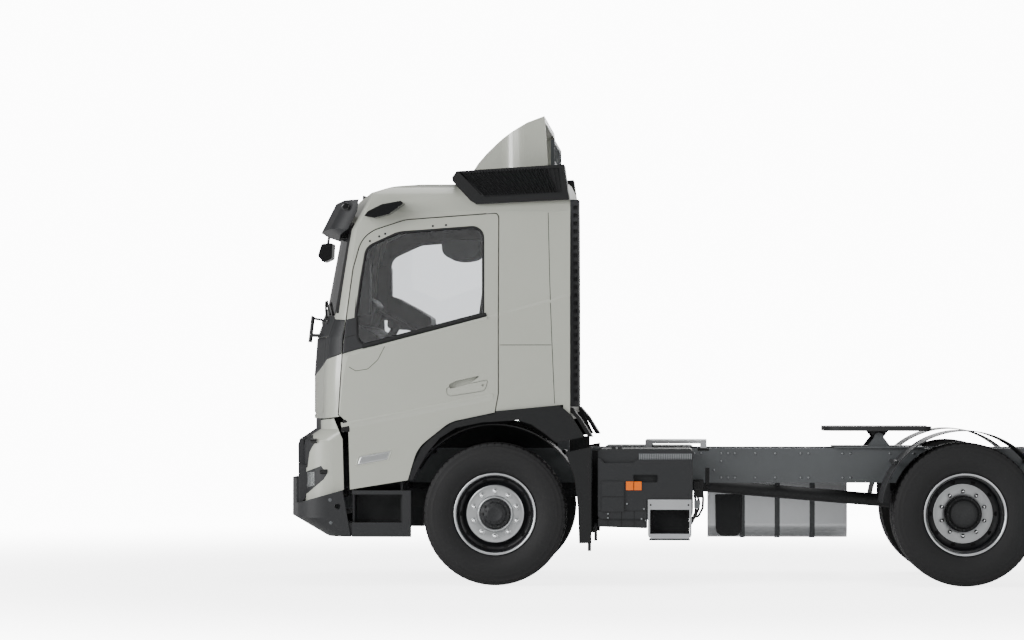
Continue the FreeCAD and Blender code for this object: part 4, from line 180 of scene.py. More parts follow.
def mesh(name, points, faces, mat, body, smooth):
    """Mesh piece from an array of points and an array of equal faces."""
    data = bpy.data.meshes.new(name.replace(" ", "_"))
    count, size = faces.shape
    data.vertices.add(len(points))
    data.vertices.foreach_set("co", np.asarray(points, dtype=np.float32).ravel())
    data.loops.add(count * size)
    data.loops.foreach_set("vertex_index", faces.astype(np.int32).ravel())
    data.polygons.add(count)
    data.polygons.foreach_set("loop_start", np.arange(count, dtype=np.int32) * size)
    data.polygons.foreach_set("loop_total", np.full(count, size, dtype=np.int32))
    data.polygons.foreach_set("use_smooth", np.full(count, smooth))
    data.update()
    data.validate()
    return piece(name, data, mat, body)


def quads_of(n, m, rows, columns):
    """Faces between the n x m points of a sheet, over this many rows and columns, wrapped at the ends."""
    a, b = np.meshgrid(np.arange(rows), np.arange(columns), indexing="ij")
    a, b = a.ravel(), b.ravel()
    c, d = (a + 1) % n, (b + 1) % m
    return np.stack([a * m + b, c * m + b, c * m + d, a * m + d], axis=1)


def grid(name, points, mat, body, around=False, across=False, flip=False):
    """Smooth quad surface over an n x m x 3 array of points; around and across close its two directions."""
    n, m = points.shape[:2]
    quads = quads_of(n, m, n if around else n - 1, m if across else m - 1)
    if flip:
        quads = quads[:, ::-1]
    return mesh(name, points.reshape(-1, 3), quads, mat, body, True)


def soften(obj, width, angle=False):
    """Rounds the edges of a piece, or with angle only the sharp ones."""
    if width:
        soft = obj.modifiers.new("edge", "BEVEL")
        soft.width = width
        soft.segments = 2
        if angle:
            soft.limit_method = "ANGLE"


def turned(name, r, w, centre, mat, body, count):
    """Surface about a line along Y: point(a, k) = centre + (r sin a, w_k, r cos a), r by k or by a and k."""
    a = np.linspace(0, math.tau, count, endpoint=False)[:, None]
    x = centre[0] + r * np.sin(a)
    y = centre[1] + w + 0 * a
    z = centre[2] + r * np.cos(a)
    return grid(name, np.stack([x, y, z], axis=2), mat, body, around=True)


def stamp(name, unit, places, mat, body, smooth=True):
    """One mesh holding a small unit shape, given as points and faces, repeated at many 4 x 4 places."""
    shape, faces = unit
    places = np.asarray(places, dtype=float)
    flat = np.concatenate([shape, np.ones((len(shape), 1))], axis=1)
    points = np.einsum("pij,nj->pni", places, flat)[:, :, :3].reshape(-1, 3)
    steps = (np.arange(len(places)) * len(shape))[:, None, None]
    return mesh(name, points, (faces[None] + steps).reshape(-1, faces.shape[1]), mat, body, smooth)


def frame_at(place, normal, size):
    """4 x 4 place for a unit shape whose own Z looks along normal."""
    turn = Vector(normal).to_track_quat("Z", "Y").to_matrix().to_4x4()
    return np.array(Matrix.Translation(Vector(place)) @ turn @ Matrix.Diagonal((*size, 1.0)))


def turned_shape(profile, count):
    """Points and quads of a small shape of revolution about Z: (r_j cos a_i, r_j sin a_i, z_j)."""
    profile = np.asarray(profile, dtype=float)
    a = np.linspace(0, math.tau, count, endpoint=False)[:, None]
    r, z = profile[None, :, 0], profile[None, :, 1]
    points = np.stack([r * np.cos(a), r * np.sin(a), z + 0 * a], axis=2).reshape(-1, 3)
    return points, quads_of(count, len(profile), count, len(profile) - 1)


# Share of a button's height that is straight, and how near its crown's rows come to the axis
BUTTON_RIM = 0.35
NEAR_POLE = 0.999


def dome(count, rings):
    """Unit button over a straight rim: r = cos(t)^0.5 and z = rim + (1 - rim) sin(t)."""
    t = np.linspace(0, math.pi / 2, rings)
    r = np.concatenate([[1.0], np.sqrt(np.cos(t * NEAR_POLE))])
    z = np.concatenate([[0.0], BUTTON_RIM + (1 - BUTTON_RIM) * np.sin(t)])
    return turned_shape(np.stack([r, z], axis=1), count)


# Small round button, unit bolt with a chamfered hexagon head, and unit cube
BUTTON = dome(16, 4)
HEXAGON = turned_shape([(1.0, 0.0), (1.0, 0.82), (0.86, 1.0), (0.001, 1.0)], 6)
CUBE = (np.array([(x, y, z) for x in (-0.5, 0.5) for y in (-0.5, 0.5) for z in (-0.5, 0.5)]),
        np.array([(0, 1, 3, 2), (4, 6, 7, 5), (0, 4, 5, 1), (2, 3, 7, 6), (0, 2, 6, 4), (1, 5, 7, 3)]))


def boxes(name, rows, mat, body, bevel, side=1):
    """Boxes in one piece, by rows (x0, x1, y0, y1, z0, z1) with x from the front axle. side mirrors y."""
    rows = np.asarray(rows, dtype=float)
    places = np.zeros((len(rows), 4, 4))
    places[:, 3, 3] = 1.0
    for axis in range(3):
        low, high = rows[:, 2 * axis], rows[:, 2 * axis + 1]
        places[:, axis, axis] = high - low
        places[:, axis, 3] = (low + high) / 2
    places[:, 0, 3] += AXLE_F
    places[:, 1, 3] *= side
    soften(stamp(name, CUBE, places, mat, body, smooth=False), bevel)


def slab(name, corners, y0, y1, mat, body, bevel, side=1, step=0.012):
    """Plate from y0 to y1 with corners (x from the front axle, z, radius). side mirrors y."""
    outline = rounded(shifted(corners), step)
    n = len(outline)
    low, high = sorted((side * y0, side * y1))
    points = np.zeros((2 * n, 3))
    points[:, [0, 2]] = np.vstack([outline, outline])
    points[:n, 1], points[n:, 1] = low, high
    data = bpy.data.meshes.new(name.replace(" ", "_"))
    walls = [(i, (i + 1) % n, n + (i + 1) % n, n + i) for i in range(n)]
    data.from_pydata(points.tolist(), [], [tuple(range(n))[::-1], tuple(range(n, 2 * n))] + walls)
    soften(piece(name, data, mat, body), bevel, angle=True)


# Direction that no bar of this truck follows, to start its ring from
ASIDE = (0.02, 0.31, 0.95)


def tube(name, path, radius, mat, body, count):
    """Round bar swept along a polyline, its ring turned to each point's own direction."""
    path = np.asarray(path, dtype=float)
    ahead = np.gradient(path, axis=0)
    ahead /= np.linalg.norm(ahead, axis=1, keepdims=True)
    across = np.cross(ahead, ASIDE)
    across /= np.linalg.norm(across, axis=1, keepdims=True)
    up = np.cross(across, ahead)
    a = np.linspace(0, math.tau, count, endpoint=False)[None, :, None]
    points = path[:, None] + radius * (np.cos(a) * across[:, None] + np.sin(a) * up[:, None])
    grid(name, points, mat, body, across=True)


def shifted(rows):
    """Rows whose first value is a distance from the front axle, moved into the part's frame."""
    return [(AXLE_F + row[0], *row[1:]) for row in rows]


def dress():
    """Gives every CAD node the finish of its own slot in the record."""
    slots = {row["node"]: row["material_slot"] for row in frame["record"]["subparts"]}
    for name, obj in frame["nodes"].items():
        obj.data.materials.clear()
        obj.data.materials.append(OWN.get(name, FINISH[slots[name]]))


# Light on the object, and the white that the lens sees: the floor's fades up with distance in metres
WORLD_LIGHT = 0.3
WORLD_SEEN = 12.0
FLOOR_SEEN = 4.0
FLOOR_NEAR = 4.0
FLOOR_FAR = 13.0
FLOOR_SIZE = 160.0
SEEN_THROUGH = 0.13
WHITE = (1.0, 1.0, 1.0, 1.0)
# Name, place, aim, size in metres and power in watts of each lamp
LAMPS = [("front", (-14.0, -7.0, 4.0), (-2.5, 0.0, 1.6), 5.0, 1500.0),
         ("key", (-9.0, -11.0, 7.0), (0.0, 0.0, 1.4), 6.0, 1060.0),
         ("fill", (7.0, -12.0, 4.0), (1.0, 0.0, 1.0), 6.0, 500.0),
         ("top", (0.0, 0.0, 11.0), (0.0, 0.0, 0.0), 9.0, 900.0),
         ("rim", (3.0, 11.0, 7.0), (0.0, 0.0, 1.5), 6.0, 900.0)]
# Camera of the photograph: place, aim, sensor and lens in mm, far clip in metres
CAMERA_AT = (AXLE_F + 1.53, -29.25, 1.464)
CAMERA_AIM = (AXLE_F + 0.132, -1.25, 1.985)
SENSOR_MM = 36.0
LENS_MM = 132.1
CLIP_END = 200.0


def seen_white(tree, base, level):
    """Strength of a stage light: base + level * (camera ray + SEEN_THROUGH * ray straight through glass)."""
    ray = node(tree, "LightPath", {})
    direct = node(tree, "Math", {0: ray["Is Transmission Ray"], 1: ray["Diffuse Depth"]},
                  operation="SUBTRACT", use_clamp=True)["Value"]
    through = node(tree, "Math", {0: direct, 1: SEEN_THROUGH, 2: ray["Is Camera Ray"]},
                   operation="MULTIPLY_ADD")["Value"]
    return node(tree, "Math", {0: through, 1: level, 2: base}, operation="MULTIPLY_ADD")["Value"]


def aimed(name, data, place, goal):
    """Object with data such as a lamp or a camera, looking from place to goal."""
    obj = bpy.data.objects.new(name, data)
    obj.location = place
    obj.rotation_euler = (Vector(goal) - Vector(place)).to_track_quat("-Z", "Y").to_euler()
    bpy.context.collection.objects.link(obj)
    return obj


def studio():
    """Pale floor, soft light and the camera of the photograph."""
    bpy.ops.mesh.primitive_plane_add(size=FLOOR_SIZE, location=(0, 0, 0))
    floor = bpy.context.object
    floor.name = "floor"
    floor.data.materials.append(FLOOR)
    tree = FLOOR.node_tree
    place = node(tree, "NewGeometry", {})["Position"]
    reach = node(tree, "VectorMath", {0: place}, operation="LENGTH")["Value"]
    span = {"From Min": FLOOR_NEAR, "From Max": FLOOR_FAR, "To Min": FLOOR_SEEN, "To Max": WORLD_SEEN,
            "Value": reach}
    fade = node(tree, "MapRange", span, interpolation_type="SMOOTHSTEP")["Result"]
    glow = {"Emission Color": WHITE, "Emission Strength": seen_white(tree, 0.0, fade)}
    feed(tree, tree.nodes["Principled BSDF"], glow)
    world = bpy.data.worlds.new("studio")
    bpy.context.scene.world = world
    world.use_nodes = True
    tree = world.node_tree
    strength = seen_white(tree, WORLD_LIGHT, WORLD_SEEN)
    feed(tree, tree.nodes["Background"], {"Color": WHITE, "Strength": strength})
    for name, place, goal, size, power in LAMPS:
        lamp = bpy.data.lights.new(name, "AREA")
        lamp.size = size
        lamp.energy = power
        aimed(name, lamp, place, goal)
    camera = bpy.data.cameras.new("camera")
    camera.sensor_width = SENSOR_MM
    camera.lens = LENS_MM
    camera.clip_end = CLIP_END
    bpy.context.scene.camera = aimed("camera", camera, CAMERA_AT, CAMERA_AIM)


# Half section of a tyre from bead to tread: share of the half width, and radius in mm
TYRE_SECTION = [
    (0.726, 289), (0.73, 300), (0.745, 312), (0.8, 322), (0.835, 332), (0.85, 340), (0.885, 352),
    (0.93, 372), (0.96, 392), (0.972, 412), (0.972, 432), (0.966, 448), (0.955, 462), (0.957, 468),
    (0.945, 472), (0.935, 484), (0.92, 496), (0.918, 502), (0.898, 506), (0.885, 516), (0.872, 523),
    (0.855, 529), (0.825, 532)]
# Tread's share of the width, then places of grooves, walls, marks and slots as shares of the tread's half
TREAD_SHARE = 0.8
GROOVES = (-0.64, -0.22, 0.22, 0.64)
GROOVE_SHARES = (-0.062, -0.045, 0.045, 0.062)
GROOVE_REACH = 0.05
TREAD_MARKS = [-0.97, -0.82, -0.43, 0.0, 0.43, 0.82, 0.97]
SIPE_SHARE = 0.6
SHOULDER_SHARE = 0.8
SHOULDER_FADE = 0.1
# Radii and depths in metres, and steps round the tyre and in one block of it
CROWN_R = 0.5358
CROWN_FALL = 0.004
SLOT_LOW_R = 0.507
GROOVE_DEPTH = 0.013
SLOT_DEPTH = 0.006
SIPE_DEPTH = 0.002
TYRE_STEPS = 480
BLOCK_STEPS = 8
TYRE_EDGE = math.radians(38)
# Width of a tyre and its distance from the middle of the truck
FRONT_TYRE = (0.385, 1.035)
REAR_TYRE_WIDTH = 0.306
REAR_OUTER_Y = 1.084
REAR_INNER_Y = 0.734


def tyre(name, centre, width, body):
    """Tyre as a height field: radius R(v) - d(u, v), with d the depth of grooves, slots and sipes."""
    side = [(width / 2 * u, r / 1000) for u, r in TYRE_SECTION]
    tread = TREAD_SHARE * width / 2
    flat = sorted(TREAD_MARKS + [g + share for g in GROOVES for share in GROOVE_SHARES])
    w = np.array([-a for a, r in side] + [f * tread for f in flat] + [a for a, r in reversed(side)])
    crown = [CROWN_R - CROWN_FALL * abs(f) ** 3 for f in flat]
    r = np.array([b for a, b in side] + crown + [b for a, b in reversed(side)])
    sunk = [GROOVE_DEPTH if any(abs(f - g) < GROOVE_REACH for g in GROOVES) else 0.0 for f in flat]
    groove = np.array([0.0] * len(side) + sunk + [0.0] * len(side))
    beyond = (np.abs(w) - tread * SHOULDER_SHARE) / (tread * SHOULDER_FADE)
    shoulder = np.clip(beyond, 0, 1) * (r > SLOT_LOW_R)
    step = (np.arange(TYRE_STEPS) % BLOCK_STEPS)[:, None]
    slot = (step < 2) * shoulder[None] * SLOT_DEPTH
    sipe = (step == BLOCK_STEPS // 2) * (np.abs(w) < tread * SIPE_SHARE)[None] * SIPE_DEPTH
    rr = r[None] - groove[None] - slot - sipe
    obj = turned(name, rr, w[None], centre, RUBBER, body, TYRE_STEPS)
    edge = obj.modifiers.new("edges", "EDGE_SPLIT")
    edge.split_angle = TYRE_EDGE
    return obj


# Turned pieces of a front wheel: rows of radius and distance from the truck's middle in mm, finish, steps
FRONT_TURNED = [
    ("rim flange", [(287, 1176), (300, 1177.5), (305, 1181), (308, 1186), (306.5, 1189.5), (300, 1190),
     (294, 1186), (290, 1180)], ALUMINIUM, 160),
    ("rim well", [(308, 880), (308, 890), (286, 893), (284, 905), (278, 960), (276, 1100), (277, 1135),
     (282, 1150), (285, 1172), (289, 1179)], DARK_RIM, 160),
    ("rim dish", [(218, 1122), (226, 1112), (238, 1098), (252, 1090), (266, 1092), (276, 1104)],
     DARK_RIM, 160),
    ("rim back", [(276, 1076), (236, 1080), (218, 1100), (140, 1106)], DARK_RIM, 96),
    ("nut face", [(134, 1128), (140, 1129.5), (206, 1129.5), (213, 1128.5), (217, 1125), (218.5, 1120)],
     DISC, 160),
    ("hub ring", [(112, 1139), (116, 1146), (122, 1150), (129, 1149), (133, 1144), (134.5, 1128)],
     DISC, 120),
    ("hub cap", [(0.1, 1187), (44, 1187), (50, 1190), (58, 1190), (62, 1185), (76, 1183), (82, 1178),
     (84, 1170), (100, 1167), (108, 1163), (112, 1156), (114, 1140)], PLASTIC, 120),
    ("drum", [(0.1, 962), (120, 962), (134, 966), (134, 1100)], IRON, 64)]
# The same for a twin wheel at the rear
REAR_TURNED = [
    ("twin flange", [(287, 1196), (300, 1198), (305, 1202), (308, 1206), (306, 1209), (300, 1209),
     (294, 1205), (290, 1199)], ALUMINIUM, 160),
    ("twin well", [(289, 1199), (285, 1192), (282, 1165), (277, 1140), (276, 960), (262, 945), (240, 936),
     (222, 928)], DARK_RIM, 160),
    ("twin nut face", [(224, 926), (217, 925.5), (212, 926), (146, 926), (136, 924)], DISC, 160),
    ("twin hub", [(0.1, 1079), (58, 1079), (70, 1074), (98, 1070), (104, 1062), (108, 1040), (120, 1034),
     (132, 1030), (134, 1020), (134, 926)], IRON, 120),
    ("twin inner", [(308, 609), (308, 620), (286, 622), (283, 640), (276, 700), (276, 1000)], DARK_RIM, 120),
    ("twin middle", [(308, 847), (308, 859), (288, 861), (288, 957), (308, 959), (308, 971)], DARK_RIM, 120),
    ("twin web", [(276, 892), (134, 892), (134, 726), (60.5, 726)], DARK_RIM, 96)]
# Rings of small shapes: unit, radius, count, distance from the middle, size, turn, finish, smooth
NUT = dome(20, 6)
NUT_RING_R = 0.1675
HALF_STEP = math.pi / 10
FRONT_RINGS = [
    ("nut caps", NUT, NUT_RING_R, 10, 1.129, (0.0165, 0.0165, 0.038), 0.0, CHROME, True),
    ("nut seats", NUT, NUT_RING_R, 10, 1.129, (0.024, 0.024, 0.006), 0.0, DISC, True),
    ("cap bolts", HEXAGON, 0.097, 10, 1.1665, (0.01, 0.01, 0.009), 0.31, IRON, False),
    ("cap ribs", CUBE, 0.07, 10, 1.183, (0.01, 0.016, 0.008), 0.0, PLASTIC, False),
    # The vent holes are flat black marks of painted shade, not cut holes
    ("vent holes", HEXAGON, 0.252, 10, 1.088, (0.021, 0.021, 0.004), HALF_STEP, SHADE_AND_SEAM_BLACK, False)]
REAR_RINGS = [
    ("twin nut caps", NUT, NUT_RING_R, 10, 0.926, (0.0165, 0.0165, 0.033), 0.0, CHROME, True),
    ("twin hub bolts", HEXAGON, 0.119, 12, 1.0335, (0.009, 0.009, 0.01), 0.0, IRON, False),
    # The twin vents are flat black marks of painted shade, not cut holes
    ("twin vents", HEXAGON, 0.247, 10, 0.938, (0.019, 0.019, 0.003), HALF_STEP, SHADE_AND_SEAM_BLACK, False)]
# Valve stem of a front wheel: x from the axle, y, and z from the axle, in metres, then its radius
VALVE = [(0.205, 1.105, -0.165), (0.208, 1.15, -0.167), (0.212, 1.163, -0.17)]
VALVE_R = 0.006


def wheel(axle, profiles, rings, base, node_name, side, s, body):
    """Turned pieces and rings of one wheel; the piece named base stands for the rim's node."""
    for name, rows, mat, count in profiles:
        r, w = np.array(rows, float).T / 1000
        made = turned("%s %s" % (name, side), r[None], s * w[None], (axle, 0, TYRE_R), mat, body, count)
        if name == base:
            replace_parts(made, node_name)
    for name, unit, radius, count, y, size, start, mat, smooth in rings:
        places = []
        for i in range(count):
            a = math.tau * i / count + start
            centre = (axle + radius * math.sin(a), s * y, TYRE_R + radius * math.cos(a))
            places.append(frame_at(centre, (0, s, 0), size))
        stamp("%s %s" % (name, side), unit, places, mat, body, smooth)


def wheels():
    """Tyres and rims of all wheels, with the nuts, hubs and valves that show."""
    for side, s in SIDES:
        front, rear = "wheel_front_" + side, "wheels_rear_" + side
        width, y = FRONT_TYRE
        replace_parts(tyre("tyre front " + side, (AXLE_F, s * y, TYRE_R), width, front), "tyre_front_" + side)
        outer = tyre("tyre rear outer " + side, (AXLE_R, s * REAR_OUTER_Y, TYRE_R), REAR_TYRE_WIDTH, rear)
        tyre("tyre rear inner " + side, (AXLE_R, s * REAR_INNER_Y, TYRE_R), REAR_TYRE_WIDTH, rear)
        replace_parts(outer, "tyres_rear_" + side)
        wheel(AXLE_F, FRONT_TURNED, FRONT_RINGS, "rim dish", "rim_front_" + side, side, s, front)
        wheel(AXLE_R, REAR_TURNED, REAR_RINGS, "twin well", "rims_rear_" + side, side, s, rear)
        stem = [(AXLE_F + x, s * y, TYRE_R + z) for x, y, z in VALVE]
        tube("valve " + side, stem, VALVE_R, CHROME, front, 10)


# Skin of the cab, as in the part's source: overall sizes, nose and half widths against height
CAB_X0 = AXLE_F - 1.453
CAB_LENGTH = 2.017
SKIN_LOW_Z = 0.719
SKIN_HEIGHT = 2.327
NOSE_Z = SKIN_LOW_Z + SKIN_HEIGHT * np.array([-0.02, 0.36, 0.49, 0.541, 0.55, 0.839, 0.935, 1.02])
NOSE_AT = CAB_X0 + CAB_LENGTH * np.array([0, 0, 0.0115, 0.032, 0.0363, 0.0987, 0.1634, 0.191])
HALF_WIDTH = 1.245
SECTION_HALF = [HALF_WIDTH, 1.226, 1.243, 1.232, 1.165, 1.11, 0.88, 0.0]
SKIRT_Z = 0.679
ROOF_Z = [2.8, 2.986, 3.02, 3.046]
# Crease and belt line on the side: height at the nose, rise for each metre, and the belt's own height
CREASE = (1.147, 0.195)
BELT = (1.622, 0.268)
BELT_HEIGHT = 0.022
# Plan of the nose: flat, crown, straight flank and corner circle
CORNER_R = 0.21
NOSE_CROWN_R = 2.5
FLAT_HALF = 0.3 * HALF_WIDTH
CROWN_REACH = 0.6
FLANK = CORNER_R / (HALF_WIDTH - FLAT_HALF)
FLANK_RUN = math.hypot(1, FLANK)
FLANK_TURN = math.atan(FLANK)
CORNER_Y = HALF_WIDTH - CORNER_R
CROWN_START = FLAT_HALF - NOSE_CROWN_R * math.tan(FLANK_TURN / 2)
CROWN_END = CROWN_START + NOSE_CROWN_R * math.sin(FLANK_TURN)
# How far a sheet's border dips into the skin, and the share of the sheet that its border takes
DIP = 0.002
BORDER = 0.004


def sloped(line, x):
    """Height of a sloped line on the side at x: height at the nose + rise * distance behind it."""
    return line[0] + line[1] * (x - CAB_X0)


def corner_x(nose):
    """Place along X of the corner circle's centre."""
    return nose + (CORNER_Y - FLAT_HALF) * FLANK + CORNER_R * FLANK_RUN


def skin_y(x, z):
    """Half width at x, z: the smaller of section(x, z), straight between its corners, and the bowed plan."""
    x, z = np.broadcast_arrays(np.asarray(x, float), np.asarray(z, float))
    belt = sloped(BELT, x)
    zs = [np.full_like(x, SKIRT_Z), sloped(CREASE, x), belt, belt + BELT_HEIGHT]
    zs += [np.full_like(x, height) for height in ROOF_Z]
    section = np.full_like(x, HALF_WIDTH)
    for i, (low, high) in enumerate(zip(zs[:-1], zs[1:])):
        t = np.clip((z - low) / (high - low), 0, 1)
        part = SECTION_HALF[i] + t * (SECTION_HALF[i + 1] - SECTION_HALF[i])
        section = np.where(z >= low, part, section)
    nose = np.interp(z, NOSE_Z, NOSE_AT)
    cx = corner_x(nose)
    arc = CORNER_Y + np.sqrt(np.clip(CORNER_R ** 2 - (x - cx) ** 2, 0, None))
    flank = FLAT_HALF + (x - nose) / FLANK
    plan = np.where(x >= cx, HALF_WIDTH, np.where(x >= cx - CORNER_R / FLANK_RUN, arc, flank))
    return np.minimum(section, plan)


def skin_x(y, z):
    """Front of the bowed plan at y, z: flat, crown, nose + flank * (y - flat half), corner's arc."""
    y, z = np.broadcast_arrays(np.abs(np.asarray(y, float)), np.asarray(z, float))
    nose = np.interp(z, NOSE_Z, NOSE_AT)
    arc = corner_x(nose) - np.sqrt(np.clip(CORNER_R ** 2 - (y - CORNER_Y) ** 2, 0, None))
    past = np.clip(y - CROWN_START, 0, CROWN_REACH)
    crown = nose + NOSE_CROWN_R - np.sqrt(NOSE_CROWN_R ** 2 - past ** 2)
    straight = np.where(y <= CROWN_END, crown, nose + (y - FLAT_HALF) * FLANK)
    return np.where(y <= CORNER_Y + CORNER_R * FLANK / FLANK_RUN, straight, arc)


def rounded(corners, step):
    """Closed outline through corners (x, z, radius), its arcs cut into short steps."""
    out = []
    n = len(corners)
    for i in range(n):
        p = np.array(corners[i][:2], float)
        a = np.array(corners[i - 1][:2], float) - p
        b = np.array(corners[(i + 1) % n][:2], float) - p
        r = corners[i][2]
        if r <= 0:
            out.append(p)
            continue
        a, b = a / np.linalg.norm(a), b / np.linalg.norm(b)
        half = math.acos(float(np.clip(a @ b, -1, 1))) / 2
        reach = r / math.tan(half)
        centre = p + (a + b) / np.linalg.norm(a + b) * (r / math.sin(half))
        start, end = p + a * reach - centre, p + b * reach - centre
        t0, t1 = math.atan2(start[1], start[0]), math.atan2(end[1], end[0])
        turn = (t1 - t0 + math.pi) % math.tau - math.pi
        for t in np.linspace(t0, t0 + turn, max(3, int(abs(turn) * r / step) + 2)):
            out.append(centre + r * np.array([math.cos(t), math.sin(t)]))
    return np.array(out)


def along(line, shares):
    """Places on a polyline at shares of its length."""
    line = np.asarray(line, float)
    d = np.concatenate([[0], np.cumsum(np.linalg.norm(np.diff(line, axis=0), axis=1))])
    return np.stack([np.interp(shares * d[-1], d, line[:, k]) for k in range(line.shape[1])], axis=1)


def resample(outline, count, closed=True):
    """The outline with count points, evenly spaced along it."""
    line = np.vstack([outline, outline[:1]]) if closed else outline
    return along(line, np.linspace(0, 1, count + 1)[:-1] if closed else np.linspace(0, 1, count))


def inward(outline, closed):
    """Unit normals of an outline, pointing to the left of its direction."""
    ahead = np.roll(outline, -1, 0) - np.roll(outline, 1, 0)
    if not closed:
        ahead[0], ahead[-1] = outline[1] - outline[0], outline[-1] - outline[-2]
    ahead = ahead / np.linalg.norm(ahead, axis=1, keepdims=True)
    return np.stack([-ahead[:, 1], ahead[:, 0]], axis=1)


def ribbon(name, line, offsets, lifts, mat, body, side, closed, count):
    """Band along a line on the cab's side: line_i + offset_k * normal, raised by lift_k from the skin."""
    line = resample(line, count, closed)
    normal = inward(line, closed)
    x = line[:, :1] + normal[:, :1] * offsets
    z = line[:, 1:] + normal[:, 1:] * offsets
    y = side * (skin_y(x, z) + lifts)
    grid(name, np.stack([x, y, z], axis=2), mat, body, around=closed, flip=side > 0)


def narrow(count):
    """Shares from 0 to 1 whose first and last steps are only as wide as the border."""
    return np.concatenate([[0.0], np.linspace(BORDER, 1 - BORDER, count - 2), [1.0]])


def raised(n, m, lift, border):
    """Lifts of an n x m grid: border on its edge and lift inside."""
    out = np.full((n, m), border)
    out[1:-1, 1:-1] = lift
    return out


def patch(name, left, right, lift, mat, body, side, n, m):
    """Sheet on the cab's side: point(i, j) = left_i + (right_i - left_i) * v_j, raised from the skin."""
    a, b = along(left, narrow(n)), along(right, narrow(n))
    p = a[:, None] + (b - a)[:, None] * narrow(m)[None, :, None]
    y = side * (skin_y(p[..., 0], p[..., 1]) + raised(n, m, lift, -DIP))
    grid(name, np.stack([p[..., 0], y, p[..., 1]], axis=2), mat, body, flip=side > 0)


def level(height):
    """Edge of a front sheet that lies at one height."""
    return lambda y: np.full_like(y, height)


def front_patch(name, y0, y1, low, high, lift, mat, body, n, m):
    """Sheet on the cab's front: (skin_x(y_i, z_ij) - lift, y_i, z_ij), z_ij from low(y_i) to high(y_i)."""
    y = y0 + (y1 - y0) * narrow(n)
    lo, hi = low(y)[:, None], high(y)[:, None]
    z = lo + (hi - lo) * narrow(m)[None]
    yy = np.broadcast_to(y[:, None], z.shape)
    x = skin_x(yy, z) - raised(n, m, lift, -DIP)
    grid(name, np.stack([x, yy, z], axis=2), mat, body, flip=True)


def front_strip(name, z, inner, outer, lift, back, mat, body, side, m):
    """Upright strip on the front, lift ahead of the skin: y from inner_i to outer_i at height z_i."""
    y = inner[:, None] + (outer - inner)[:, None] * narrow(m)[None]
    zz = np.broadcast_to(z[:, None], y.shape)
    x = skin_x(y, zz) - raised(len(z), m, lift, lift - back)
    grid(name, np.stack([x, side * y, zz], axis=2), mat, body, flip=side < 0)


# Door's outline box, as in the source
DOOR_X = AXLE_F - 1.167
DOOR_LENGTH = 1.192
DOOR_HEIGHT = 2.066


def door_at(u, v):
    """Place in X and Z from shares of the door's length and height, as in the source."""
    return (DOOR_X + u * DOOR_LENGTH, SKIN_LOW_Z + v * DOOR_HEIGHT)


# Window's corners: shares of the door and radius in metres
WINDOW_SHARES = [(0.171, 0.878, 0.1), (0.372, 0.931, 0.2), (0.904, 0.953, 0.08), (0.907, 0.627, 0.01),
                 (0.12, 0.508, 0.09), (0.109, 0.64, 0.2), (0.137, 0.76, 0.2)]
WINDOW = rounded([(*door_at(u, v), r) for u, v, r in WINDOW_SHARES], 0.012)
STRIP_SHARES = [(0.15, 0.513), (0.3, 0.5355), (0.55, 0.573), (0.93, 0.63)]
LIP_SHARES = [(0.13, 0.5075), (0.3, 0.5345), (0.55, 0.572), (0.93, 0.629)]
# Lines on the side: x from the front axle and z
MIRROR_SEAM = [(-0.814, 1.803), (-0.874, 1.687), (-0.948, 1.62), (-1.038, 1.605), (-1.09, 1.635)]
UPRIGHT_SEAM = [(0.399, 2.79), (0.412, 2.3), (0.43, 1.8), (0.449, 1.362)]
LEVEL_SEAM = [(0.04, 1.799), (0.25, 1.799), (0.424, 1.799)]
CREASE_X = np.linspace(AXLE_F - 1.15, AXLE_F - 0.012, 60)
DOOR_CREASE = [(x, 1.017 + 0.25 * (x + 0.777)) for x in (-0.777, -0.576)]
BAND_SEAM = [(x, 1.842 + 0.27 * (x + 1.167)) for x in (-1.126, -1.042)]
PLATE = [(-1.039, 0.893, 0.006), (-1.014, 0.972, 0.006), (-0.767, 1.017, 0.006), (-0.797, 0.937, 0.006)]
# Ribbons, the panel seams on the cab and the rest on the door: line, offsets, lifts, finish, closed, points
RIBBONS = [
    ("window seal", WINDOW, [0.01, 0.009, -0.008, -0.009], [-0.006, 0.002, 0.002, -0.01], MATT_BLACK,
     True, 260),
    ("window lining", WINDOW, [-0.008, -0.008, 0.03, 0.13], [-0.009, -0.054, -0.054, -0.054], TRIM, True,
     260),
    ("belt strip", [door_at(u, v) for u, v in STRIP_SHARES], [-0.008, -0.007, 0.018, 0.026, 0.03],
     [-0.012, 0.004, 0.004, -0.004, -0.009], MATT_BLACK, False, 60),
    ("mirror seam", shifted(MIRROR_SEAM), [-0.002, 0.002], [0.0006, 0.0006], SHADE_AND_SEAM_BLACK, False, 40),
    ("panel seam 0", shifted(UPRIGHT_SEAM), [-0.0022, 0.0022], [0.0006, 0.0006], SHADE_AND_SEAM_BLACK, False, 60),
    ("panel seam 1", shifted(LEVEL_SEAM), [-0.0022, 0.0022], [0.0006, 0.0006], SHADE_AND_SEAM_BLACK, False, 60),
    ("belt lip", [door_at(u, v) for u, v in LIP_SHARES], [-0.036, -0.022, -0.012, -0.006],
     [-0.002, 0.006, 0.012, -0.001], LACQUER, False, 60),
    ("band seam", shifted(BAND_SEAM), [-0.0018, 0.0018], [0.0034, 0.0034], SHADE_AND_SEAM_BLACK, False, 12),
    ("plate rim", rounded(shifted(PLATE), 0.003), [0.004, 0.003, -0.003, -0.004],
     [-0.001, 0.0018, 0.0018, -0.001], LACQUER, True, 120),
    ("body crease", np.stack([CREASE_X, sloped(CREASE, CREASE_X)], axis=1),
     [-0.06, -0.03, -0.008, 0.002, 0.012], [-0.0015, 0.001, 0.0045, 0.004, -0.0015], LACQUER, False, 60),
    ("door crease", shifted(DOOR_CREASE), [-0.003, 0.0, 0.003], [-0.0005, 0.0014, -0.0005], LACQUER, False,
     20)]
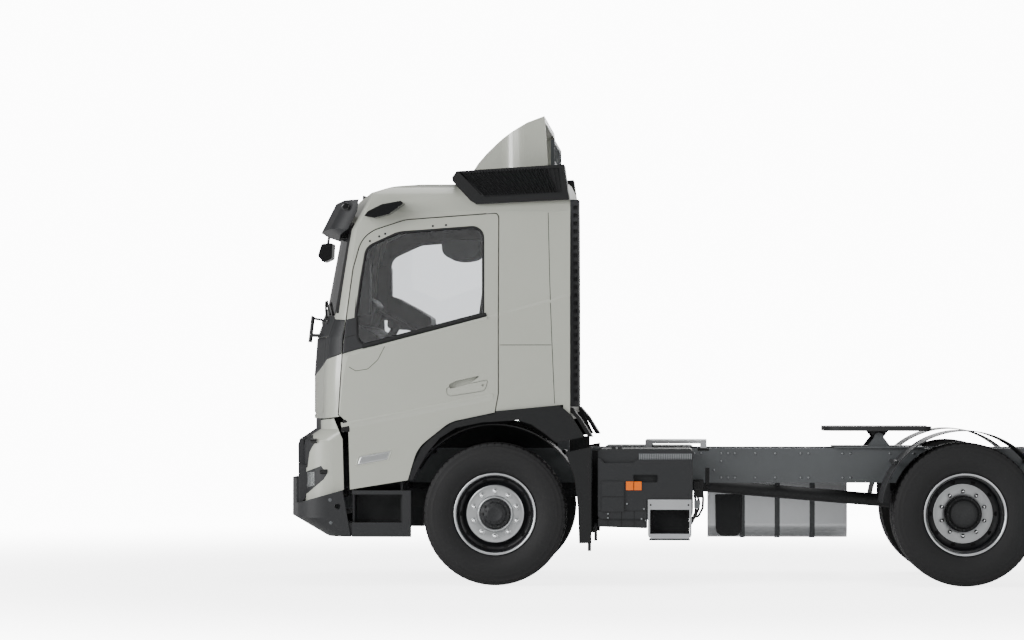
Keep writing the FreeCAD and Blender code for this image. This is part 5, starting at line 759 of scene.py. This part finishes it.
# Blanking plugs over the window: x from the front axle and z, then how far they sink, their tilt and size
PLUGS = [(-0.939, 2.579), (-0.869, 2.614), (-0.824, 2.634), (-0.466, 2.691), (-0.367, 2.698)]
PLUG_SINK = 0.001
PLUG_TILT = 0.08
PLUG_SIZE = (0.0085, 0.0085, 0.004)
# Painted shade in the dark gap before the door's lower front corner, as a flat black sheet: left line, and
# right line that curls
GAP_LEFT = [(-1.152, 1.15), (-1.132, 1.24)]
GAP_RIGHT = [(-1.086 - 0.03 * t ** 3, 1.15 + 0.09 * t) for t in np.linspace(0, 1, 12)]
GAP_LIFT = 0.0022
# Bare badge place: left and right line, lift
BARE_LEFT = [(-1.024, 0.902), (-1.004, 0.966)]
BARE_RIGHT = [(-0.802, 0.944), (-0.779, 1.007)]
BARE_LIFT = 0.0016
# Dark band over the nose: heights, edges and lifts in metres
BAND_Z = 1.571
BAND_RISE = 0.09
BAND_FLAT = 0.45
BAND_RUN = 0.51
BAND_POWER = 1.3
LID_EDGE = 0.983
LID_GAP = 0.006
FLANK_EDGE = 1.125
FLANK_TOP = 1.868
CORNER_BAND_Y = 1.084
CORNER_BAND_Z = (1.691, 1.996)
CORNER_BAND_EDGE = [(-1.148, 1.73), (-1.121, 1.988)]
DOOR_BAND_EDGE = [(-1.14, 1.732), (-1.113, 1.99)]
DOOR_BAND_LIMIT = (-0.96, 2.012)
DOOR_BAND_MARGIN = 0.003
DOOR_BAND_FOOT = 0.012
LID_LIFT = 0.003
FLANK_LIFT = 0.0026
CORNER_LIFT = 0.0022
DOOR_LIFT = 0.0025
SKIN_STEP = 0.0005
COWL_TOP = 2.026
COWL_DROP = 0.03
COWL_END = (1.0, 1.08)


def band_low(y):
    """Lower edge of the dark band: level in the middle, then rise * ((|y| - flat) / run)^power."""
    return BAND_Z + BAND_RISE * (np.clip(np.abs(y) - BAND_FLAT, 0, None) / BAND_RUN) ** BAND_POWER


def cowl_top(y):
    """Upper edge of the cowl band: level, with a drop at both ends."""
    return COWL_TOP - COWL_DROP * np.interp(np.abs(y), COWL_END, (0, 1))


# Sheets across the nose: half width, edges, lift, finish, body, points across and up
FRONT_SHEETS = [
    ("cowl band", 1.12, level(1.861), cowl_top, LID_LIFT, PLASTIC, "cab", 90, 10),
    ("lid foot", 0.97, level(1.258), level(1.306), -0.006, LACQUER, "cab", 60, 4),
    ("lid band", LID_EDGE, band_low, level(1.857), LID_LIFT, PLASTIC, "front_lid", 90, 16)]


def dark_band(side, s, door):
    """The band's ends: round the corner of the cab, and on the door up to the window."""
    y0, y1 = sorted((s * (LID_EDGE + LID_GAP), s * FLANK_EDGE))
    front_patch("band flank " + side, y0, y1, band_low, level(FLANK_TOP), FLANK_LIFT, PLASTIC, "cab", 24, 16)
    z = np.linspace(*CORNER_BAND_Z, 30)
    left = np.stack([skin_x(CORNER_BAND_Y, z) + SKIN_STEP, z], axis=1)
    patch("band corner " + side, left, shifted(CORNER_BAND_EDGE), CORNER_LIFT, PLASTIC, "cab", s, 30, 40)
    fine = resample(WINDOW, 600)
    limit_x, limit_z = DOOR_BAND_LIMIT
    pick = fine[(fine[:, 0] < AXLE_F + limit_x) & (fine[:, 1] < limit_z)]
    far = pick[np.argsort(pick[:, 1])] - DOOR_BAND_MARGIN
    far[0, 1] -= DOOR_BAND_FOOT
    patch("band door " + side, shifted(DOOR_BAND_EDGE), far, DOOR_LIFT, PLASTIC, door, s, 24, 16)


def cab_skin():
    """Seals, seams, black bands and small fittings on the cab's skin, on both sides."""
    gap_left, gap_right = shifted(GAP_LEFT), shifted(GAP_RIGHT)
    for side, s in SIDES:
        door = "door_" + side
        for name, line, offsets, lifts, mat, closed, count in RIBBONS:
            rides = "cab" if "panel" in name else door
            ribbon("%s %s" % (name, side), line, offsets, lifts, mat, rides, s, closed, count)
        places = []
        for x, z in shifted(PLUGS):
            y = float(skin_y(x, z)) - PLUG_SINK
            places.append(frame_at((x, s * y, z), (0, s, PLUG_TILT), PLUG_SIZE))
        stamp("blanking plugs " + side, BUTTON, places, PLASTIC, door)
        patch("step corner gap shade " + side, gap_left, gap_right, GAP_LIFT, SHADE_AND_SEAM_BLACK, door, s, 12, 8)
        patch("bare plate " + side, shifted(BARE_LEFT), shifted(BARE_RIGHT), BARE_LIFT, DISC, door, s, 8, 24)
        dark_band(side, s, door)
        shield_edge(side, s)
    for name, half, low, high, lift, mat, body, n, m in FRONT_SHEETS:
        front_patch(name, -half, half, low, high, lift, mat, body, n, m)


# Windshield's side edge: distance from the middle at its foot and how much nearer it comes with height
SHIELD_HALF = 1.105
SHIELD_LEAN = 0.07
SHIELD_FOOT_Z = 2.022
SHIELD_HEIGHT = 0.708
# Strips along that edge: heights with their count, inner and outer line, lift, border's step, finish, points
SHIELD_STRIPS = [
    ("printed border", (2.03, 2.722, 40), -0.15, 0.004, -0.0085, 0.001, MATT_BLACK, 16),
    ("shield seal", (2.03, 2.722, 40), -0.006, 0.044, 0.002, 0.004, MATT_BLACK, 6),
    ("pillar trim", (2.0, 2.7, 30), -0.01, 0.115, -0.056, 0.001, TRIM, 12)]


def shield_edge(side, s):
    """Black printed border, rubber seal and pillar trim down the windshield's side edge."""
    for name, (low, high, n), inner, outer, lift, back, mat, m in SHIELD_STRIPS:
        z = np.linspace(low, high, n)
        edge = SHIELD_HALF - SHIELD_LEAN * (z - SHIELD_FOOT_Z) / SHIELD_HEIGHT
        front_strip("%s %s" % (name, side), z, edge + inner, edge + outer, lift, back, mat, "cab", s, m)


# Plates, one on each side: corners (x from the front axle, z, radius), y0, y1, finish, body, edge radius
SIDE_SLABS = [
    ("pillar screen", [(-1.085, 2.02, 0.02), (-1.06, 2.46, 0.02), (-0.95, 2.46, 0.02), (-0.945, 2.03, 0.02)],
     0.935, 1.065, TRIM, "cab", 0.006),
    ("grille end", [(-1.5, 0.79, 0.004), (-1.503, 1.05, 0.03), (-1.49, 1.092, 0.02), (-1.445, 1.122, 0.004),
     (-1.44, 1.095, 0.004), (-1.458, 1.04, 0.02), (-1.455, 0.79, 0.004)],
     0.915, 0.945, PLASTIC, "chassis", 0.004),
    ("lamp surround", [(-1.482, 0.6, 0.004), (-1.482, 0.9, 0.004), (-1.395, 0.9, 0.004),
     (-1.395, 0.705, 0.004), (-1.44, 0.64, 0.02)], 0.985, 1.06, PLASTIC, "chassis", 0.004)]
# Single plates, with the step of their rounded corners at the end
SLABS = [
    ("instrument hood", [(-1.2, 1.95, 0.02), (-1.12, 2.13, 0.05), (-0.96, 2.165, 0.03), (-0.905, 2.1, 0.02),
     (-0.96, 1.95, 0.02)], -0.9, -0.22, TRIM, "cab", 0.01, 0.012),
    ("passenger hood", [(-0.93, 1.95, 0.02), (-0.93, 2.215, 0.02), (-0.86, 2.19, 0.02),
     (-0.707, 2.107, 0.02), (-0.588, 2.035, 0.02), (-0.58, 1.93, 0.02)],
     0.3, 0.9, TRIM, "cab", 0.01, 0.012),
    ("roof console", [(-0.459, 2.62, 0.01), (-0.45, 2.5, 0.08), (-0.31, 2.452, 0.3), (-0.168, 2.5, 0.08),
     (-0.158, 2.62, 0.01)], -0.36, 0.36, HEADLINER, "cab", 0.02, 0.012),
    ("roof fin", [(-1.1, 2.94, 0.002), (-1.097, 2.985, 0.006), (-1.062, 2.972, 0.01), (-1.048, 2.94, 0.002)],
     -0.012, 0.012, PLASTIC, "cab", 0.004, 0.004),
    # Dark plate on the inner face of the right tank
    ("tank cover", [(1.651, 0.64, 0.01), (1.864, 0.64, 0.01), (1.858, 0.312, 0.06), (1.657, 0.312, 0.06)],
     0.462, 0.4785, PLASTIC, "chassis", 0.004, 0.012),
    # Flat black sheet of painted shade behind the duct
    ("duct backing", [(0.6, 1.29, 0), (0.65, 1.31, 0), (0.726, 1.15, 0), (0.69, 1.125, 0)], -0.95, -0.935,
     SHADE_AND_SEAM_BLACK, "cab", 0.0, 0.012)]
# Boxes, one set on each side: rows (x0, x1, y0, y1, z0, z1) with x from the front axle, finish, body, edge
SIDE_BOXES = [
    ("grab bar foot", [(-1.44, -1.335, 0.682, 0.718, 1.866, 1.892)], PLASTIC, "cab", 0.005),
    ("step filler", [(-1.096, -1.052, 1.15, 1.228, 0.37, 0.47)], PLASTIC, "chassis", 0.004),
    ("hanger strap", [(1.575, 1.604, 0.4255, 0.4315, 0.74, 0.866),
     (1.515, 1.6, 0.4255, 0.4315, 0.998, 1.016)], GLOSS_BLACK, "chassis", 0.002),
    ("tail section 0", [(4.29, 4.2995, 0.79, 0.852, 0.792, 0.888)], AMBER, "chassis", 0.003),
    ("tail section 1", [(4.29, 4.2995, 0.6, 0.66, 0.792, 0.888)], CHROME, "chassis", 0.003),
    ("tail section 2", [(4.29, 4.2995, 0.433, 0.487, 0.792, 0.888)], AMBER, "chassis", 0.003),
    ("tail ribs", [(4.29, 4.2998, y - 0.003, y + 0.003, 0.784, 0.896) for y in (0.496, 0.591, 0.669, 0.781)],
     GLOSS_BLACK, "chassis", 0.0)]
# Single sets of boxes on the chassis: rows, finish, edge
BOX_FACE = -1.2255
BOX_RIBS = [(1.08 + 0.0132 * k, 1.088 + 0.0132 * k, -1.205, -1.199, 0.944, 0.986) for k in range(30)]
BOX_SEAMS = [(x - 0.002, x + 0.002, BOX_FACE - 0.0006, BOX_FACE, 0.44, 0.56) for x in (0.847, 0.948, 1.042)]
BOX_SEAMS += [(0.775, 1.145, BOX_FACE - 0.0006, BOX_FACE, 0.56, 0.5635),
              (0.804, 0.962, BOX_FACE - 0.0128, BOX_FACE - 0.0118, 0.665, 0.669)]
BOXES = [
    ("box reflector", [(0.981, 1.037, BOX_FACE - 0.006, BOX_FACE, 0.716, 0.781),
     (1.043, 1.098, BOX_FACE - 0.006, BOX_FACE, 0.716, 0.781)], AMBER, 0.002),
    ("box ribs", BOX_RIBS, ZINC, 0.0),
    ("box rib plate", [(1.076, 1.473, -1.201, -1.1985, 0.94, 0.99)], CHASSIS, 0.0),
    ("box seams", BOX_SEAMS, SHADE_AND_SEAM_BLACK, 0.0),
    ("box lumps", [(0.872, 0.902, -1.16, -1.12, 1.02, 1.044), (0.918, 0.95, -1.16, -1.12, 1.02, 1.04)],
     PLASTIC, 0.004),
    ("step under bar", [(1.152, 1.458, -1.236, -1.19, 0.343, 0.357)], PLASTIC, 0.003),
    # Flat black sheet of painted shade behind the step's openings
    ("step backing", [(1.16, 1.452, -1.12, -1.112, 0.375, 0.6)], SHADE_AND_SEAM_BLACK, 0.0),
    ("pipe block", [(1.483, 1.56, -0.5, -0.432, 0.64, 0.778), (1.478, 1.53, -0.53, -0.48, 0.7, 0.77)],
     GLOSS_BLACK, 0.006),
    ("pipe valve", [(1.486, 1.532, -0.52, -0.478, 0.56, 0.622)], ZINC, 0.006),
    ("guard straps", [(0.693, 0.718, -1.13, -1.1, 0.258, 0.42), (0.741, 0.764, -1.13, -1.1, 0.336, 0.47)],
     PLASTIC, 0.003),
    # Flat black sheets of painted shade behind the mudguard
    ("guard backing", [(0.724, 0.771, -1.06, -1.04, 0.44, 1.01),
     (0.556, 0.706, -1.062, -1.046, 0.99, 1.118)], SHADE_AND_SEAM_BLACK, 0.0),
    ("bare rear plate", [(4.294, 4.299, -0.26, 0.26, 0.8, 0.91)], LACQUER, 0.002),
    # Flat black sheets of painted shade behind the grille and the bumper
    ("grille backing", [(-1.262, -1.256, -0.985, 0.985, 0.8, 1.225)], SHADE_AND_SEAM_BLACK, 0.0),
    ("bumper backing", [(-1.262, -1.256, -1.06, 1.06, 0.48, 0.8)], SHADE_AND_SEAM_BLACK, 0.0)]


def plates_and_boxes():
    """Screens, hoods, lamp sections, seams and other plain blocks and plates."""
    for name, corners, y0, y1, mat, body, bevel, step in SLABS:
        slab(name, corners, y0, y1, mat, body, bevel, step=step)
    for name, rows, mat, bevel in BOXES:
        boxes(name, rows, mat, "chassis", bevel)
    for side, s in SIDES:
        for name, corners, y0, y1, mat, body, bevel in SIDE_SLABS:
            slab("%s %s" % (name, side), corners, y0, y1, mat, body, bevel, side=s)
        for name, rows, mat, body, bevel in SIDE_BOXES:
            boxes("%s %s" % (name, side), rows, mat, body, bevel, side=s)


# Bolts along the rails: x from the front axle in both rows and in the upper one alone, heights, and two more
ROW_BOLTS = [1.6937, 1.747, 1.7987, 1.954, 2.107, 2.3, 2.36, 2.62, 2.68, 2.98, 3.7, 4.05, 4.11]
UPPER_BOLTS = [1.4896, 1.5403] + ROW_BOLTS[:10] + [3.1, 3.16, 3.7, 3.76, 4.05, 4.11]
RAIL_FACE = 0.4252
RAIL_BOLTS = [(x, RAIL_FACE, 0.978) for x in UPPER_BOLTS]
RAIL_BOLTS += [(x, RAIL_FACE, 0.793) for x in ROW_BOLTS]
RAIL_BOLTS += [(1.694, RAIL_FACE, 0.919), (1.64, RAIL_FACE, 0.851)]
# Buttons on each side: unit, places with x from the front axle, 1 if they face outwards, size, finish, body
SIDE_BUTTONS = [
    ("visor side lamp", dome(24, 6), [(-1.132, 1.082, 2.844)], 1, (0.03, 0.03, 0.01), GLOSS_BLACK, "cab"),
    ("bumper bolts", dome(24, 6), [(-1.23, 1.243, 0.641), (-1.224, 1.243, 0.47)], 1, (0.013, 0.013, 0.004),
     CHASSIS, "chassis"),
    ("rail bolts", dome(12, 4), RAIL_BOLTS, 1, (0.0085, 0.0085, 0.01), ZINC, "chassis"),
    ("tail reflectors", dome(20, 5), [(4.2915, 0.545, 0.84), (4.2915, 0.726, 0.84)], 0, (0.03, 0.03, 0.008),
     RED_LENS, "chassis")]
# Buttons on the left side alone: unit, places, size, finish, smooth
BOX_BOLTS = [(0.989, 0.615), (0.847, 0.54), (0.847, 0.51), (1.115, 0.577), (1.097, 0.503), (1.13, 0.492)]
LEFT_BUTTONS = [
    ("box bolts", HEXAGON, [(x, BOX_FACE, z) for x, z in BOX_BOLTS], (0.0075, 0.0075, 0.006), ZINC, False),
    # The step holes are flat black marks of painted shade
    ("step holes", BUTTON, [(1.165, -1.2402, 0.607), (1.446, -1.2402, 0.607)], (0.007, 0.007, 0.001),
     SHADE_AND_SEAM_BLACK, True)]


def buttons():
    """Bolts, painted shade marks for holes, and round lamps."""
    for name, unit, rows, size, mat, smooth in LEFT_BUTTONS:
        stamp(name, unit, [frame_at(row, (0, -1, 0), size) for row in shifted(rows)], mat, "chassis", smooth)
    for side, s in SIDES:
        for name, unit, rows, outwards, size, mat, body in SIDE_BUTTONS:
            normal = (1 - outwards, s * outwards, 0)
            places = [frame_at((x, s * y, z), normal, size) for x, y, z in shifted(rows)]
            stamp("%s %s" % (name, side), unit, places, mat, body)


# Bars on each side: path of x from the front axle, y and z, radius, finish, body, points round it
SIDE_BARS = [
    ("grab bar", [(-1.412, 0.7, 2.026), (-1.415, 0.7, 2.02), (-1.434, 0.7, 1.85), (-1.437, 0.7, 1.826)],
     0.0155, PLASTIC, "cab", 14),
    ("grab bar stay", [(-1.414, 0.7, 2.008), (-1.36, 0.7, 2.0), (-1.318, 0.7, 1.99)], 0.009, PLASTIC, "cab",
     10),
    ("lamp knob 0", [(x, 1.178, 0.853) for x in (-1.312, -1.292, -1.26, -1.256)], 0.017, GLOSS_BLACK,
     "chassis", 20),
    ("lamp knob 1", [(x, 1.16, 1.082) for x in (-1.385, -1.365, -1.342, -1.338)], 0.017, GLOSS_BLACK,
     "chassis", 20)]
# Air pipes behind the battery box: x from the front axle and z, then the first pipe's y and the next's step
AIR_PIPES = [[(1.545, 0.7), (1.556, 0.64), (1.552, 0.56), (1.52, 0.5), (1.465, 0.484)],
             [(1.5, 0.7), (1.528, 0.6), (1.518, 0.545), (1.47, 0.45), (1.43, 0.394), (1.4, 0.404)],
             [(1.49, 0.66), (1.505, 0.59), (1.495, 0.52), (1.45, 0.44), (1.405, 0.42)]]
PIPE_Y = -0.47
PIPE_STEP = -0.012
PIPE_R = 0.0095
# Wipers: pivots, reach of blade and arm, heights of foot and rise, distance from the skin and radius
WIPER_Y = (-0.8, -0.12, 0.52)
BLADE_REACH = 0.56
BLADE_Z = (2.035, 0.115)
BLADE_OFF = 0.004
BLADE_R = 0.008
ARM_START = 0.02
ARM_REACH = 0.3
ARM_Z = (1.985, 0.155)
ARM_OFF = 0.017
ARM_R = 0.009
PIVOT_SINK = 0.002
PIVOT_NORMAL = (-1, 0, 0.15)
PIVOT_SIZE = (0.022, 0.022, 0.026)


def wiper_bar(name, y, z, off, radius):
    """Bar of a wiper, off ahead of the windshield's skin, with the place where it starts."""
    path = np.stack([skin_x(y, z) - off, y, z], axis=1)
    tube(name, path, radius, GLOSS_BLACK, "cab", 8)
    return (float(skin_x(y[0], z[0])) + PIVOT_SINK, y[0], z[0])


def bars():
    """Grab bars, lamp knobs, air pipes and wipers."""
    for side, s in SIDES:
        for name, rows, radius, mat, body, count in SIDE_BARS:
            path = [(x, s * y, z) for x, y, z in shifted(rows)]
            tube("%s %s" % (name, side), path, radius, mat, body, count)
    for k, rows in enumerate(AIR_PIPES):
        path = [(x, PIPE_Y + PIPE_STEP * k, z) for x, z in shifted(rows)]
        tube("air pipe %d" % k, along(path, np.linspace(0, 1, 30)), PIPE_R, GLOSS_BLACK, "chassis", 10)
    for k, pivot in enumerate(WIPER_Y):
        t = np.linspace(0, 1, 20)
        z = BLADE_Z[0] + BLADE_Z[1] * np.sin(t * math.pi / 2)
        wiper_bar("wiper blade %d" % k, pivot + BLADE_REACH * t, z, BLADE_OFF, BLADE_R)
        t = np.linspace(0, 1, 12)
        z = ARM_Z[0] + ARM_Z[1] * t
        foot = wiper_bar("wiper arm %d" % k, pivot + ARM_START + ARM_REACH * t, z, ARM_OFF, ARM_R)
        place = frame_at(foot, PIVOT_NORMAL, PIVOT_SIZE)
        stamp("wiper pivot %d" % k, BUTTON, [place], GLOSS_BLACK, "cab")


# Slanted slats of the roof vents: corners of their field, first share, lean, count, place and size
SLAT_LOW = [(-0.112, 2.923), (0.46, 2.946)]
SLAT_HIGH = [(-0.267, 3.097), (0.44, 3.13)]
SLAT_FIRST = 0.02
SLAT_LEAN = 0.1
SLAT_COUNT = 31
SLAT_Y = 1.1935
SLAT_DEPTH = 0.006
SLAT_WIDTH = 0.007


def vent_slats():
    """Slats in both roof vents, from low0 + (low1 - low0) t to high0 + (high1 - high0) (t - lean)."""
    low, high = np.array(shifted(SLAT_LOW)), np.array(shifted(SLAT_HIGH))
    t = np.linspace(SLAT_FIRST, 1.0, SLAT_COUNT)[:, None]
    foot = low[0] + (low[1] - low[0]) * t
    head = high[0] + (high[1] - high[0]) * np.clip(t - SLAT_LEAN, 0, 1)
    run, middle = head - foot, (head + foot) / 2
    across = SLAT_WIDTH * run / np.linalg.norm(run, axis=1, keepdims=True)
    for side, s in SIDES:
        places = np.zeros((SLAT_COUNT, 4, 4))
        places[:, 3, 3] = 1.0
        places[:, 0, 0], places[:, 2, 0] = run[:, 0], run[:, 1]
        places[:, 1, 1] = SLAT_DEPTH
        places[:, 0, 2], places[:, 2, 2] = -across[:, 1], across[:, 0]
        places[:, 0, 3], places[:, 1, 3], places[:, 2, 3] = middle[:, 0], s * SLAT_Y, middle[:, 1]
        stamp("vent slats " + side, CUBE, places, GLOSS_BLACK, "cab", smooth=False)


dress()
wheels()
cab_skin()
plates_and_boxes()
buttons()
bars()
vent_slats()
studio()
